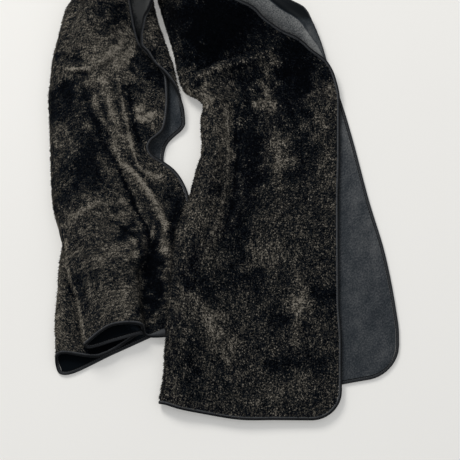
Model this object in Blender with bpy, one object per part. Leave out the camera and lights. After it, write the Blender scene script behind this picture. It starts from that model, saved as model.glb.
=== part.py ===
"""A long pile-cloth stole with a smooth lining and a bound edge, laid on a flat surface.

The strip is folded lengthwise and bent over at the neck, so that its two arms lie side by side with both ends
towards the viewer. The left arm ends in an S-shaped pleat, and the right arm lies on the edge of the left one.

Every line along the cloth, such as an edge or a fold, is a short table of (down, across, height) in
millimetres. Down and across are sizes in the plane that faces the viewer, who looks VIEW_TILT away from
straight down. Height is measured above the surface, and place() turns the three into a point in the room.
"""
import math

import bmesh
import bpy
import numpy as np

MM = 0.001

# Cloth
PILE_PLY = 2.2
LINING_PLY = 1.0
PLY_GAP = 0.3
PILE_INNER = PLY_GAP / 2
PILE_OUTER = PILE_INNER + PILE_PLY
LINING_OUTER = PLY_GAP / 2 + LINING_PLY
CORNER_RADIUS = 36.0

# Binding round the edge, a flat bar that the two plies stop short of; its section is a list of (inset, height)
BINDING_WIDTH = 4.0
BINDING_GAP = 0.6
BINDING_SLANT = 0.9
BINDING_LOWER = 0.1
PLY_INSET = BINDING_WIDTH + BINDING_GAP
BINDING_SECTION = (
    (0.0, (PILE_OUTER - LINING_OUTER) / 2),
    (BINDING_SLANT, PILE_OUTER - BINDING_LOWER),
    (BINDING_WIDTH, PILE_OUTER - BINDING_LOWER),
    (BINDING_WIDTH, BINDING_LOWER - LINING_OUTER),
    (BINDING_SLANT, BINDING_LOWER - LINING_OUTER),
)

# The viewer's plane: its middle, its tilt and the viewer's distance
VIEW_CENTRE = 276.0
VIEW_TILT = math.radians(20.0)
VIEW_DISTANCE = 3067.0

# The neck: where the inner edge turns, and the section at the middle of the neck, from the outer edge
# of the cloth down to its fold and up to the inner edge, as (outward, height) rows
NECK_ACROSS = 186.5
NECK_DOWN = -6.0
NECK_SEAM = 0.2
NECK_SECTION = (
    (36.0, 56.0),
    (40.0, 46.0),
    (41.0, 32.0),
    (37.0, 16.0),
    (28.0, 5.0),
    (19.0, 3.2),
    (11.0, 8.0),
    (7.0, 20.0),
    (6.0, 36.0),
    (8.0, 52.0),
)
NECK_ROWS = 6
NECK_SWING = 1.25

# Down to this line all lines of an arm share one height in the picture, and below it each runs to its hem
SHARED_DOWN = 276.0

# Left arm: lines from the front edge over the top layer to the left side, then under it to the back edge
LEFT_LINES = {
    "front_edge": (
        (0, 157.2, 46), (48, 166.8, 16), (67, 181, 8), (94, 200.5, 6), (120, 202, 7), (144, 200, 9),
        (156, 197, 11), (163, 191, 12.5), (169, 183, 14), (176, 179.5, 14), (185, 183, 12), (193, 195, 9.5),
        (204, 209.5, 7.4), (216, 218.5, 6), (232, 225.6, 5.4), (276, 234, 5.4), (404, 243.6, 5.4),
    ),
    "step_foot": (
        (0, 135.6, 47), (54, 146, 21), (108, 168, 14), (156, 168, 13), (198, 178, 11), (232, 188, 8.5),
        (276, 182, 8), (306, 177.5, 6.8), (314, 171, 6.4), (328, 167, 6), (344, 169, 5.8), (404, 174.5, 5.8),
    ),
    "step_top": (
        (0, 118, 45), (54, 126, 28), (108, 140, 19), (156, 143, 17), (198, 148, 14), (240, 154, 12),
        (268, 152, 11), (284, 155, 15), (298, 168, 18), (307, 171, 18.5), (318, 164, 18.5),
        (330, 160, 19), (366, 165, 19.5), (391, 168, 20),
    ),
    "crown": (
        (0, 103, 35), (54, 94, 26), (108, 90, 21), (156, 90, 19.5), (232, 94, 19), (276, 102, 19.5),
        (328, 115, 22), (367, 125, 23.5), (392, 134, 24.5),
    ),
    "upper_fold": ((270, 73.5, 17), (332, 83, 18), (368, 95, 18.5), (400, 99, 19.5), (415, 103, 19.5)),
    "inner_fold": ((270, 76, 12), (290, 84, 12), (332, 116, 12), (368, 148, 12), (401, 171.5, 12)),
    "lower_fold": ((276, 73, 5.4), (348, 70.8, 5.4), (384, 67.6, 5.4), (437, 68.4, 5.4)),
    "left_side": (
        (0, 87.6, 24), (12, 80.4, 23), (24, 76.8, 22), (48, 70.8, 20), (72, 64.8, 18), (96, 62.4, 17),
        (120, 60, 16.5), (144, 61.2, 16), (180, 62.4, 16), (228, 63.6, 16.5), (252, 66, 17),
        (276, 72, 18), (288, 73.2, 19),
    ),
    "flap_fold": (
        (0, 182, 24), (23, 187, 20), (43, 193.8, 14), (62, 200.4, 10), (83, 207.6, 8), (97, 210, 7.2),
        (108, 213, 6.2), (117, 214.6, 5.6), (126, 213.4, 5), (137, 209, 3.6), (148, 202, 2.5), (163, 190, 2.35),
        (191, 178, 2.35), (264, 192, 2.35), (390, 214, 2.35),
    ),
    "back_edge": (
        (0, 181, 39), (11, 176, 36), (20, 171.4, 32), (30, 169.6, 28), (41, 167.8, 24), (55, 168, 21),
        (62, 175, 18), (76, 184.3, 15), (89, 198, 13), (104, 208, 12), (118, 215.5, 11), (132, 220.8, 8),
        (148, 222.4, 5), (155, 219.2, 4), (163, 210.4, 3.2), (171, 202.4, 2.6), (179, 198.4, 2.4),
        (191, 196.4, 2.35), (216, 201.6, 2.35), (264, 213.6, 2.35), (312, 228, 2.35), (385, 247, 2.35),
    ),
}

# Folds of the pleat, as the side that each points to, its radius and how far its lower bend runs past its upper
LEFT_FOLDS = {"upper_fold": (-1, 3.0, 6.0), "inner_fold": (1, 3.0, 0.0), "lower_fold": (-1, 2.9, 22.0)}
PLEAT_LAYER_SLIP = 15.0
SIDE_BULGE = 13.0
PLEAT_OPENS = (264.0, 316.0)
PLEAT_LENGTH = 120.0

# Flap on the left arm's inner side: its fold's radius down the arm, where the fold ends, how its lines share
# the way between their neighbours, and how far the lower layer starts inward of the last fold of the pleat
FLAP_RADIUS = ((0, 9), (23, 8), (43, 7), (62, 6), (83, 4.6), (110, 3.6), (125, 2.6))
FLAP_ENDS = (112.0, 132.0)
FLAP_BELOW_SHARE = 0.8
FLAP_ABOVE_SHARE = 0.4
FLAP_LIFT_SHARE = 0.2
LOWER_LAYER_START = (1.5, 11.0)

# Right arm: lines from the back edge under the top layer to the slit, then over it to the front edge
RIGHT_LINES = {
    "back_edge": (
        (0, 349, 18), (4, 357.6, 16), (8, 364.8, 13), (16, 370.8, 10), (23, 373.8, 8), (35, 379.2, 6),
        (54, 386.4, 4), (70, 391.2, 3), (94, 399.6, 2.4), (120, 409.2, 2.35), (168, 423.6, 2.35),
        (240, 442.8, 2.35), (306, 462.6, 2.35), (370, 475.2, 2.35), (400, 479, 2.35), (449, 479.5, 2.35),
    ),
    "crest": (
        (0, 321.6, 44), (12, 336, 38), (20, 350.4, 33), (29, 361.2, 29), (38, 367.2, 25), (52, 378, 18),
        (62, 384, 12), (72, 388, 7.5), (96, 388, 2.8), (120, 388, 2.35), (168, 395, 2.35),
        (240, 408, 2.35), (306, 412, 2.35), (370, 412, 2.35), (461, 412, 2.35),
    ),
    "slit_fold": (
        (0, 191, 14), (17, 195.6, 13), (40, 202.8, 12), (65, 210, 10), (88, 214.8, 9), (104, 219.6, 8.8),
        (112, 226, 9), (118, 238, 9), (125, 244.8, 9), (130, 245.5, 9), (144, 242.4, 9), (158, 242.4, 9.5),
        (170, 243.6, 10), (186, 242.4, 11), (202, 237, 13.5), (218, 232.8, 16), (232, 229.2, 17),
        (240, 226.8, 17), (280, 212.4, 17), (320, 207.6, 17), (360, 204, 17), (404, 200.4, 17),
        (424, 199, 13), (444, 198, 8.6), (485, 192, 6.15),
    ),
    "puff": (
        (0, 213.6, 44), (40, 223, 32), (72, 234, 21), (96, 243.6, 16), (120, 258, 18), (132, 260, 20),
        (168, 259, 20), (216, 251, 25), (236, 247, 27), (276, 234, 27), (317, 225.6, 26), (360, 223, 24.5),
        (404, 221, 24), (424, 219.5, 19), (444, 218.4, 14), (491, 214, 10),
    ),
    "groove": (
        (0, 236.4, 51), (40, 252, 37), (72, 266.4, 22), (96, 272, 13), (132, 278.4, 10), (216, 272.4, 12),
        (236, 270, 15), (262, 262.8, 18), (289, 253.2, 20), (317, 246, 21.5), (360, 246, 20.5),
        (404, 246, 19), (424, 245, 15), (444, 243.6, 11), (497, 243.6, 8),
    ),
    "panel": (
        (0, 252, 54), (40, 278.4, 39), (72, 300, 22), (102, 307, 12), (132, 307, 10), (216, 302.4, 9.5),
        (276, 295, 10.5), (317, 288, 11), (360, 285.6, 10.5), (400, 285.6, 9.5), (440, 285.6, 8.5),
        (504, 288, 7.5),
    ),
    "front_edge": (
        (0, 290, 51), (5, 301, 48.5), (10, 308, 46), (20, 316.8, 40), (29, 328.8, 35), (37, 340.8, 30),
        (43, 355.2, 26), (50, 364.8, 22), (58, 373.2, 18.5), (65, 382.8, 15), (73, 392.4, 12),
        (91, 402, 8.5), (120, 408, 6), (180, 408, 5.3), (240, 406.8, 5.2), (360, 407.4, 5.2),
        (414, 410.4, 5.2), (505, 410.4, 5.2),
    ),
}
SLIT_RADIUS = (
    (0, 9), (40, 8.5), (65, 7), (88, 6.3), (144, 6.4), (186, 6.6), (218, 6), (320, 5.8), (404, 5.5),
    (424, 5), (444, 4.6), (485, 3.8),
)
SLIT_PUFF_SHARE = 0.45
SLIT_ROUND_SHARE = 0.4
TUCK_WIDTH = 43.0
TUCK_DEPTH = 9.0
TUCK_SLIP = 9.0
TUCK_LIFT_SHARE = 0.35
UNDERLAY_REACH = 33.0
EDGE_PANEL_SHARE = 0.3
LAYER_GAP = 0.4
FLOOR_HEIGHT = PILE_OUTER
SECOND_HEIGHT = FLOOR_HEIGHT + 2 * LINING_OUTER + LAYER_GAP

# Rows along an arm: places down the shared length, then shares of the way from there to the hem
LEFT_DOWN = (
    0, 24, 46, 62, 78, 92, 103, 111, 117, 123, 131, 145, 160, 168, 176, 185, 194, 206, 220, 234, 256, 276,
)
LEFT_HEM_SHARE = (0.14, 0.24, 0.34, 0.5, 0.68, 0.84, 0.94, 1.0)
RIGHT_DOWN = (0, 7, 16, 28, 42, 54, 64, 74, 86, 100, 112, 124, 140, 168, 196, 220, 248, 276)
RIGHT_HEM_SHARE = (0.15, 0.32, 0.5, 0.68, 0.84, 0.95, 1.0)

# Columns: how many cells lie between two neighbouring lines of the section
LEFT_CELLS = (3, 2, 2, 2, 2, 1, 1, 1, 1, 1, 1, 1, 1, 1, 1, 1, 1, 2, 1, 1, 2)
RIGHT_CELLS = (4, 2, 2, 1, 2, 1, 1, 1, 1, 2, 2, 1, 1, 4)

# The dense grid: steps between two lines, spacing of its shared rows, and its rows to the hem and to the neck
DENSE_STEPS = 8
DENSE_ROW = 4.0
DENSE_HEM_ROWS = 34
DENSE_NECK_ROWS = 24
EDGE_SPANS = 2
SMALLEST_RADIUS = 1.0
SHARP_EDGE = math.radians(50)

# The lines of the section between which creases fade in and out, and those that lie on another layer
LEFT_TOP_LINES = (0.0, 1.5, 4.0, 5.5)
LEFT_UPPER_LINES = (0, 4)
RIGHT_TOP_LINES = (8.0, 9.0, 13.0, 14.0)
RIGHT_UPPER_LINES = (10, 14)

# Soft creases pressed up from the top layer, as (height, width, (across, down) points); a crease is full
# between its ends, which fade out as a power of a half sine from the first share by the second
CREASE_ENDS = (0.08, 0.84)
CREASE_FADE = 0.7
LEFT_CREASES = (
    (4.0, 9.0, ((140, 108), (148, 140), (156, 167), (164, 193))),
    (5.5, 8.0, ((152, 200), (168, 216), (178, 238), (192, 252), (199, 272), (204, 300))),
    (3.5, 11.0, ((72, 79), (98, 83), (124, 79), (140, 70))),
)
RIGHT_CREASES = (
    (3.0, 9.0, ((226, 112), (244, 99), (270, 83), (312, 69))),
)

COLOURS = {"pile": (0.028, 0.027, 0.024), "lining": (0.045, 0.05, 0.055), "binding": (0.02, 0.021, 0.022)}
ROUGHNESS = {"pile": 0.95, "lining": 0.9, "binding": 0.8}


def smoothstep(value, start, end):
    """Rise from 0 at start to 1 at end with level ends."""
    share = np.clip((np.asarray(value, float) - start) / (end - start), 0.0, 1.0)
    return share * share * (3.0 - 2.0 * share)


def follow(rows, at):
    """Read a table at the places in at, by a cubic that keeps level where the table turns."""
    table = np.array(rows, float)
    place_column, values = table[:, 0], table[:, 1:]
    step = np.diff(place_column)[:, None]
    slope = np.diff(values, axis=0) / step
    turning = slope[:-1] * slope[1:] <= 0.0
    joined = slope[:-1] + slope[1:]
    mean = np.where(turning, 0.0, 2.0 * slope[:-1] * slope[1:] / np.where(turning, 1.0, joined))
    tangent = np.vstack([slope[:1], mean, slope[-1:]])
    at = np.clip(np.asarray(at, float), place_column[0], place_column[-1])
    index = np.clip(np.searchsorted(place_column, at, side="right") - 1, 0, len(step) - 1)
    share = ((at - place_column[index]) / step[index, 0])[:, None]
    return (
        values[index] * (1 + 2 * share) * (1 - share) ** 2
        + values[index + 1] * share**2 * (3 - 2 * share)
        + step[index] * share * (1 - share) * (tangent[index] * (1 - share) - tangent[index + 1] * share)
    )


def place(across, down, height):
    """Carry a point of the viewer's plane along the line of sight to its height above the surface."""
    right = across - VIEW_CENTRE
    up = VIEW_CENTRE - down
    eye_y = -VIEW_DISTANCE * math.sin(VIEW_TILT)
    eye_z = VIEW_DISTANCE * math.cos(VIEW_TILT)
    reach = (height - eye_z) / (up * math.sin(VIEW_TILT) - eye_z)
    return np.stack([reach * right, eye_y + reach * (up * math.cos(VIEW_TILT) - eye_y), height], axis=-1)


def between(first, second, share):
    """The line that lies a share of the way from the first line to the second."""
    return first + (second - first) * share


def line(down, across, height):
    """One line of the section, as rows of (down, across, height)."""
    return np.stack(np.broadcast_arrays(down, across, height), axis=-1).astype(float)


def run(rows, down, share):
    """A table's line at the rows of an arm: shared rows by down, and the rest by its share to the hem."""
    hem = rows[-1][0]
    at = np.where(share > 0.0, SHARED_DOWN + share * (hem - SHARED_DOWN), down)
    values = follow(rows, at)
    return line(at, values[:, 0], values[:, 1])


def hairpin(tip, radius, side, slip=0.0):
    """Three lines round a fold: its upper bend, its tip and its lower bend, the tip pointing to side."""
    upper = tip + line(-slip / 2, -side * radius, radius)
    lower = tip + line(slip / 2, -side * radius, -radius)
    return upper, tip, lower


def left_sections(down, share):
    """The left arm's lines, from the front edge over the top layer and round to the back edge."""
    named = {name: run(rows, down, share) for name, rows in LEFT_LINES.items()}
    front, foot, top, crown = (named[name] for name in ("front_edge", "step_foot", "step_top", "crown"))
    pleat = []
    for name, (side, radius, slip) in LEFT_FOLDS.items():
        pleat.append(hairpin(named[name], radius, side, slip * share))
    first, second, third = pleat
    folded = [*first, between(first[2], second[0], 0.5), *second, between(second[2], third[0], 0.5), *third]
    folded[7] = folded[7] + line(PLEAT_LAYER_SLIP * share, 0.0, 0.0)
    side_tip = named["left_side"]
    middle = (side_tip[:, 2] + FLOOR_HEIGHT) / 2
    half_height = (side_tip[:, 2] - FLOOR_HEIGHT) / 2
    opened = smoothstep(down + share * PLEAT_LENGTH, *PLEAT_OPENS)[:, None]
    cluster = []
    for angle, pleated in zip(np.linspace(math.pi / 2, -math.pi / 2, len(folded)), folded):
        across = side_tip[:, 1] + SIDE_BULGE * (1 - math.cos(angle))
        plain = line(pleated[:, 0], across, middle + half_height * math.sin(angle))
        cluster.append(between(plain, pleated, opened))
    tip = named["flap_fold"]
    edge = named["back_edge"]
    start_down, start_across = LOWER_LAYER_START
    near = line(cluster[-1][:, 0] + start_down * share, cluster[-1][:, 1] + start_across, FLOOR_HEIGHT)
    radius = follow(FLAP_RADIUS, tip[:, 0])[:, 0]
    inward = np.clip((tip[:, 1] - edge[:, 1]) / 2, -radius, radius)
    turned = 1.0 - smoothstep(tip[:, 0], *FLAP_ENDS)[:, None]
    below = between(between(near, tip, FLAP_BELOW_SHARE), tip + line(0.0, -radius, -radius), turned)
    below[:, 2] = np.maximum(below[:, 2], FLOOR_HEIGHT)
    above = between(between(tip, edge, FLAP_ABOVE_SHARE), tip + line(0.0, -inward, radius), turned)
    far = between(near, below, 0.5)
    far[:, 2] = FLOOR_HEIGHT + FLAP_LIFT_SHARE * (below[:, 2] - FLOOR_HEIGHT)
    return [front, between(front, foot, 0.5), foot, top, crown, *cluster, near, far, below, tip, above, edge]


def right_sections(down, share):
    """The right arm's lines, from the back edge under the top layer, round the slit and to the front edge."""
    named = {name: run(rows, down, share) for name, rows in RIGHT_LINES.items()}
    back, crest, slit, puff = (named[name] for name in ("back_edge", "crest", "slit_fold", "puff"))
    groove, panel, front = (named[name] for name in ("groove", "panel", "front_edge"))
    radius = follow(SLIT_RADIUS, slit[:, 0])[:, 0]
    upper, tip, lower = hairpin(slit, radius, -1)
    upper = between(upper, between(tip, puff, SLIT_PUFF_SHARE), SLIT_ROUND_SHARE)
    tuck = line(crest[:, 0] + TUCK_SLIP * share, crest[:, 1] - TUCK_WIDTH, 0.0)
    tuck[:, 2] = np.maximum(front[:, 2] - TUCK_DEPTH, FLOOR_HEIGHT)
    near = line(slit[:, 0], slit[:, 1] + UNDERLAY_REACH, slit[:, 2] - radius)
    hidden = between(tuck, near, 0.5)
    hidden[:, 2] = FLOOR_HEIGHT + TUCK_LIFT_SHARE * (tuck[:, 2] - FLOOR_HEIGHT)
    beside = between(front, panel, EDGE_PANEL_SHARE)
    middle = between(panel, beside, 0.5)
    return [
        back, between(back, crest, 0.5), crest, tuck, hidden, near, lower, tip, upper, puff,
        groove, panel, middle, beside, front,
    ]


def spline(points, cells):
    """Carry a smooth curve through the points of each row, with the given number of cells between two points.

    Each span is a cubic whose end slopes weigh the two neighbouring chords by the roots of their lengths.
    """
    chord = np.diff(points, axis=1)
    pace = np.sqrt(np.linalg.norm(chord, axis=2, keepdims=True)) + 1e-6
    rate = chord / pace
    inner = (rate[:, 1:] * pace[:, :-1] + rate[:, :-1] * pace[:, 1:]) / (pace[:, 1:] + pace[:, :-1])
    tangent = np.concatenate([rate[:, :1], inner, rate[:, -1:]], axis=1)
    parts = []
    for span, count in enumerate(cells):
        share = (np.arange(count) / count)[None, :, None]
        start, end = points[:, span, None], points[:, span + 1, None]
        swing = tangent[:, span, None] * (1 - share) - tangent[:, span + 1, None] * share
        parts.append(
            start * (1 + 2 * share) * (1 - share) ** 2
            + end * share**2 * (3 - 2 * share)
            + pace[:, span, None] * share * (1 - share) * swing
        )
    parts.append(points[:, -1:])
    return np.concatenate(parts, axis=1)


def distance_to_path(across, down, path):
    """How far each point lies from a path, and its share of the way along the path."""
    path = np.array(path, float)
    lengths = np.linalg.norm(np.diff(path, axis=0), axis=1)
    travelled = np.concatenate([[0.0], np.cumsum(lengths)])
    nearest = np.full(across.shape, np.inf)
    along = np.zeros(across.shape)
    for start, end, length, before in zip(path[:-1], path[1:], lengths, travelled):
        step = (end - start) / length
        reach = np.clip((across - start[0]) * step[0] + (down - start[1]) * step[1], 0.0, length)
        gap = np.hypot(across - start[0] - reach * step[0], down - start[1] - reach * step[1])
        closer = gap < nearest
        nearest = np.where(closer, gap, nearest)
        along = np.where(closer, (before + reach) / travelled[-1], along)
    return nearest, along


def press_creases(net, creases, top_layer):
    """Raise soft ridges out of the top layer: a bell across each path that fades towards the path's ends."""
    for height, width, path in creases:
        gap, along = distance_to_path(net[..., 1], net[..., 0], path)
        fade = np.sin(np.pi * (CREASE_ENDS[0] + CREASE_ENDS[1] * along)) ** CREASE_FADE
        net[..., 2] += height * np.exp(-((gap / width) ** 2)) * fade * top_layer


def neck_rows(first_row, next_row, shares, side):
    """Carry each column from an arm's first row over to the middle of the neck.

    A column is a cubic that leaves the arm along its own line and arrives square to the neck's middle section.
    """
    travelled = np.concatenate([[0.0], np.cumsum(np.linalg.norm(np.diff(first_row, axis=0), axis=1))])
    section = np.array(NECK_SECTION, float)
    section_travelled = np.concatenate([[0.0], np.cumsum(np.hypot(*np.diff(section, axis=0).T))])
    at = travelled / travelled[-1] * section_travelled[-1]
    outward = follow(np.column_stack([section_travelled, section]), at)
    corner = place(np.array(NECK_ACROSS), np.array(NECK_DOWN), np.array(0.0))
    seam = np.full(len(at), corner[0] + side * NECK_SEAM)
    middle = np.column_stack([seam, corner[1] + outward[:, 0], outward[:, 1]])
    leaving = first_row - next_row
    leaving /= np.linalg.norm(leaving, axis=1, keepdims=True) + 1e-9
    chord = np.linalg.norm(middle - first_row, axis=1, keepdims=True) * NECK_SWING
    arriving = np.array([-side, 0.0, 0.0])
    share = np.asarray(shares, float)[:, None, None]
    return (
        middle * (1 + 2 * share) * (1 - share) ** 2
        + first_row * share**2 * (3 - 2 * share)
        + share * (1 - share) * ((1 - share) * -arriving * chord + share * leaving * chord)
    )


def arm(sections, cells, down, hem_share, creases, side, top_layer_lines, upper_lines):
    """One half of the cloth as a dense grid of points and its rows and columns that the solids use.

    The creases fade in and out between the lines numbered in top_layer_lines, and the cloth between the two
    lines numbered in upper_lines lies on another layer, so it comes no lower than that layer lets it.
    """
    dense_down = np.arange(0.0, SHARED_DOWN, DENSE_ROW)
    dense_share = np.linspace(0.0, 1.0, DENSE_HEM_ROWS)
    at_down = np.concatenate([dense_down, np.full(len(dense_share), SHARED_DOWN)])
    at_share = np.concatenate([np.zeros(len(dense_down)), dense_share])
    net = np.stack(sections(at_down, at_share), axis=1)
    columns = spline(net, [DENSE_STEPS] * (net.shape[1] - 1))
    count = columns.shape[1]
    order = np.arange(count) / DENSE_STEPS
    top_layer = smoothstep(order, *top_layer_lines[:2]) * (1 - smoothstep(order, *top_layer_lines[2:]))
    press_creases(columns, creases, top_layer[None, :])
    lies_on_layer = (order >= upper_lines[0]) & (order <= upper_lines[1])
    columns[..., 2] = np.maximum(columns[..., 2], np.where(lies_on_layer, SECOND_HEIGHT, FLOOR_HEIGHT))
    flat = place(columns[..., 1], columns[..., 0], columns[..., 2])
    neck_shares = np.linspace(0.0, 1.0, DENSE_NECK_ROWS, endpoint=False)
    grid = np.concatenate([neck_rows(flat[0], flat[2], neck_shares, side), flat])
    shared_row = DENSE_NECK_ROWS + len(dense_down)
    rows = [DENSE_NECK_ROWS * step / NECK_ROWS for step in range(NECK_ROWS)]
    rows += [DENSE_NECK_ROWS + value / DENSE_ROW for value in down]
    rows += [shared_row + value * (DENSE_HEM_ROWS - 1) for value in hem_share]
    spans = [span + np.arange(number) / number for span, number in enumerate(cells)]
    spans[0] = spans[0] ** 2
    spans[-1] = len(cells) - (np.arange(cells[-1], 0, -1) / cells[-1]) ** 2
    picks = np.append(np.concatenate(spans), len(cells)) * DENSE_STEPS
    return {
        "grid": grid,
        "rows": np.array(rows),
        "columns": picks,
        "side": side,
        "shared_row": shared_row,
    }


def surface_normals(grid, side):
    """Unit normals on the pile side, from the cross product of the steps across and along the cloth.

    Those of the first row stay in the plane where the two halves meet.
    """
    across = np.gradient(grid, axis=1)
    along = np.gradient(grid, axis=0)
    normal = np.cross(across, along) * -side
    normal[0, :, 0] = 0.0
    return normal / (np.linalg.norm(normal, axis=2, keepdims=True) + 1e-12)


def sample(grid, rows, columns):
    """Read a grid between its points, by the four nearest ones."""
    low_row = np.clip(rows.astype(int), 0, grid.shape[0] - 2)
    low_column = np.clip(columns.astype(int), 0, grid.shape[1] - 2)
    row_share = (rows - low_row)[..., None]
    column_share = (columns - low_column)[..., None]
    upper = between(grid[low_row, low_column], grid[low_row, low_column + 1], column_share)
    lower = between(grid[low_row + 1, low_column], grid[low_row + 1, low_column + 1], column_share)
    return between(upper, lower, row_share)


def steps_in(grid, inset):
    """For each row of the grid, how many steps in it is an inset away from the line of the first points."""
    side = grid[:, 0]
    near = grid[:, : EDGE_SPANS * DENSE_STEPS + 1]
    step = np.diff(side, axis=0)
    offset = near[:, :, None] - side[:-1]
    reach = np.clip((offset * step).sum(axis=3) / (step**2).sum(axis=1), 0.0, 1.0)
    gap = np.linalg.norm(offset - reach[..., None] * step, axis=3).min(axis=2)
    gap = np.maximum.accumulate(gap, axis=1)
    return np.array([np.interp(inset, row, np.arange(near.shape[1])) for row in gap])


def panel(cloth, inset):
    """The cloth's points and normals with its free sides and its rounded corners set in by the inset.

    Only the EDGE_SPANS spans next to a side and the rows below the shared ones move with the inset.
    """
    grid = cloth["grid"]
    normals = surface_normals(grid, cloth["side"])
    last_row, last_column = grid.shape[0] - 1, grid.shape[1] - 1
    hem_width = np.concatenate([[0.0], np.cumsum(np.linalg.norm(np.diff(grid[-1], axis=0), axis=1))])
    start = steps_in(grid, inset)
    end = last_column - steps_in(grid[:, ::-1], inset)
    hem_steps = steps_in(grid[::-1].transpose(1, 0, 2), inset)
    count = np.arange(last_column + 1)
    reach = EDGE_SPANS * DENSE_STEPS
    near_start = np.clip(1.0 - cloth["columns"] / reach, 0.0, 1.0)
    near_end = np.clip(1.0 - (last_column - cloth["columns"]) / reach, 0.0, 1.0)
    radius = max(CORNER_RADIUS - inset, SMALLEST_RADIUS)
    shared = cloth["shared_row"]
    rows = np.empty((len(cloth["rows"]), len(cloth["columns"])))
    columns = np.empty_like(rows)
    for index, column in enumerate(cloth["columns"]):
        at = column + start * near_start[index] - (last_column - end) * near_end[index]
        across = sample(grid, np.arange(last_row + 1.0), at)
        length = np.concatenate([[0.0], np.cumsum(np.linalg.norm(np.diff(across, axis=0), axis=1)[::-1])])[::-1]
        along_hem = np.interp(at[-1], count, hem_width)
        depth = min(along_hem, hem_width[-1] - along_hem) - inset
        cut = min(max(radius - depth, 0.0), radius)
        drop = radius - math.sqrt(radius**2 - cut**2)
        hem = np.interp(last_row - np.interp(at[-1], count, hem_steps), np.arange(last_row + 1), length)
        hem = np.interp(-hem - drop, -length, np.arange(last_row + 1))
        scaled = shared + (cloth["rows"] - shared) * (hem - shared) / (last_row - shared)
        rows[:, index] = np.where(cloth["rows"] > shared, scaled, cloth["rows"])
        columns[:, index] = np.interp(rows[:, index], np.arange(last_row + 1), at)
    points = sample(grid, rows, columns)
    normal = sample(normals, rows, columns)
    return points, normal / (np.linalg.norm(normal, axis=2, keepdims=True) + 1e-12)


def ply(points, normals, inner, outer):
    """A closed wall between two distances from the cloth's middle, as corners and triangles."""
    height, width = points.shape[:2]
    corners = np.concatenate([(points + normals * distance).reshape(-1, 3) for distance in (inner, outer)])
    corners[:, 2] = np.maximum(corners[:, 2], 0.0)
    index = np.arange(height * width).reshape(height, width)
    a, b, c, d = index[:-1, :-1], index[:-1, 1:], index[1:, 1:], index[1:, :-1]
    lower = np.concatenate([np.stack([a, b, c], -1).reshape(-1, 3), np.stack([a, c, d], -1).reshape(-1, 3)])
    upper = lower[:, ::-1] + height * width
    loop = np.concatenate([index[0, :-1], index[:-1, -1], index[-1, :0:-1], index[:0:-1, 0]])
    after = np.roll(loop, -1)
    top_loop, top_after = loop + height * width, after + height * width
    rim = np.concatenate([np.stack([loop, top_loop, top_after], -1), np.stack([loop, top_after, after], -1)])
    return corners, np.concatenate([lower, upper, rim])


def rail(cloth, inset, height):
    """A line down one free side, round the hem and up the other, at an inset and a height from the middle."""
    points, normals = panel(cloth, inset)
    raised = points + normals * height
    return np.concatenate([raised[:-1, 0], raised[-1, :-1], raised[::-1, -1]])


def bar(cloth):
    """The binding: a flat bar round the free edge, with one rail for each corner of its section."""
    rings = np.stack([rail(cloth, inset, height) for inset, height in BINDING_SECTION], axis=1)
    rings[..., 2] = np.maximum(rings[..., 2], 0.0)
    count, around = rings.shape[:2]
    index = np.arange(count * around).reshape(count, around)
    a, b = index[:-1], index[1:]
    c, d = np.roll(b, -1, axis=1), np.roll(a, -1, axis=1)
    sides = np.concatenate([np.stack([a, b, c], -1).reshape(-1, 3), np.stack([a, c, d], -1).reshape(-1, 3)])
    start_cap = [(index[0, 0], index[0, k], index[0, k + 1]) for k in range(1, around - 1)]
    end_cap = [(index[-1, 0], index[-1, k + 1], index[-1, k]) for k in range(1, around - 1)]
    return rings.reshape(-1, 3), np.concatenate([sides, start_cap, end_cap])


def finish(kind):
    """The material of one kind of cloth."""
    material = bpy.data.materials.get(kind) or bpy.data.materials.new(kind)
    material.use_nodes = True
    shader = material.node_tree.nodes["Principled BSDF"]
    shader.inputs["Base Color"].default_value = (*COLOURS[kind], 1.0)
    shader.inputs["Roughness"].default_value = ROUGHNESS[kind]
    shader.inputs["Metallic"].default_value = 0.0
    return material


def add_solid(name, corners, triangles):
    """Put one closed piece into the scene, with its faces pointing outwards."""
    mesh = bpy.data.meshes.new(name)
    mesh.from_pydata((corners * MM).tolist(), [], triangles.tolist())
    work = bmesh.new()
    work.from_mesh(mesh)
    bmesh.ops.recalc_face_normals(work, faces=work.faces)
    work.to_mesh(mesh)
    work.free()
    mesh.shade_smooth()
    mesh.set_sharp_from_angle(angle=SHARP_EDGE)
    solid = bpy.data.objects.new(name, mesh)
    mesh.materials.append(finish(name.split("_")[0]))
    bpy.context.scene.collection.objects.link(solid)


def build():
    """Lay out both halves, cut their plies and bindings, and stand the whole on its own middle."""
    for leftover in list(bpy.data.objects):
        bpy.data.objects.remove(leftover, do_unlink=True)
    halves = {
        "left": arm(
            left_sections, LEFT_CELLS, LEFT_DOWN, LEFT_HEM_SHARE, LEFT_CREASES, -1, LEFT_TOP_LINES,
            LEFT_UPPER_LINES,
        ),
        "right": arm(
            right_sections, RIGHT_CELLS, RIGHT_DOWN, RIGHT_HEM_SHARE, RIGHT_CREASES, 1, RIGHT_TOP_LINES,
            RIGHT_UPPER_LINES,
        ),
    }
    pieces = {}
    for name, cloth in halves.items():
        points, normals = panel(cloth, PLY_INSET)
        pieces["pile_" + name] = ply(points, normals, PILE_INNER, PILE_OUTER)
        pieces["lining_" + name] = ply(points, normals, -LINING_OUTER, -PLY_GAP / 2)
        pieces["binding_" + name] = bar(cloth)
    everything = np.concatenate([corners for corners, triangles in pieces.values()])
    low, high = everything.min(axis=0), everything.max(axis=0)
    shift = np.array([(low[0] + high[0]) / 2, (low[1] + high[1]) / 2, low[2]])
    for name, (corners, triangles) in pieces.items():
        add_solid(name, corners - shift, triangles)


build()
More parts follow.
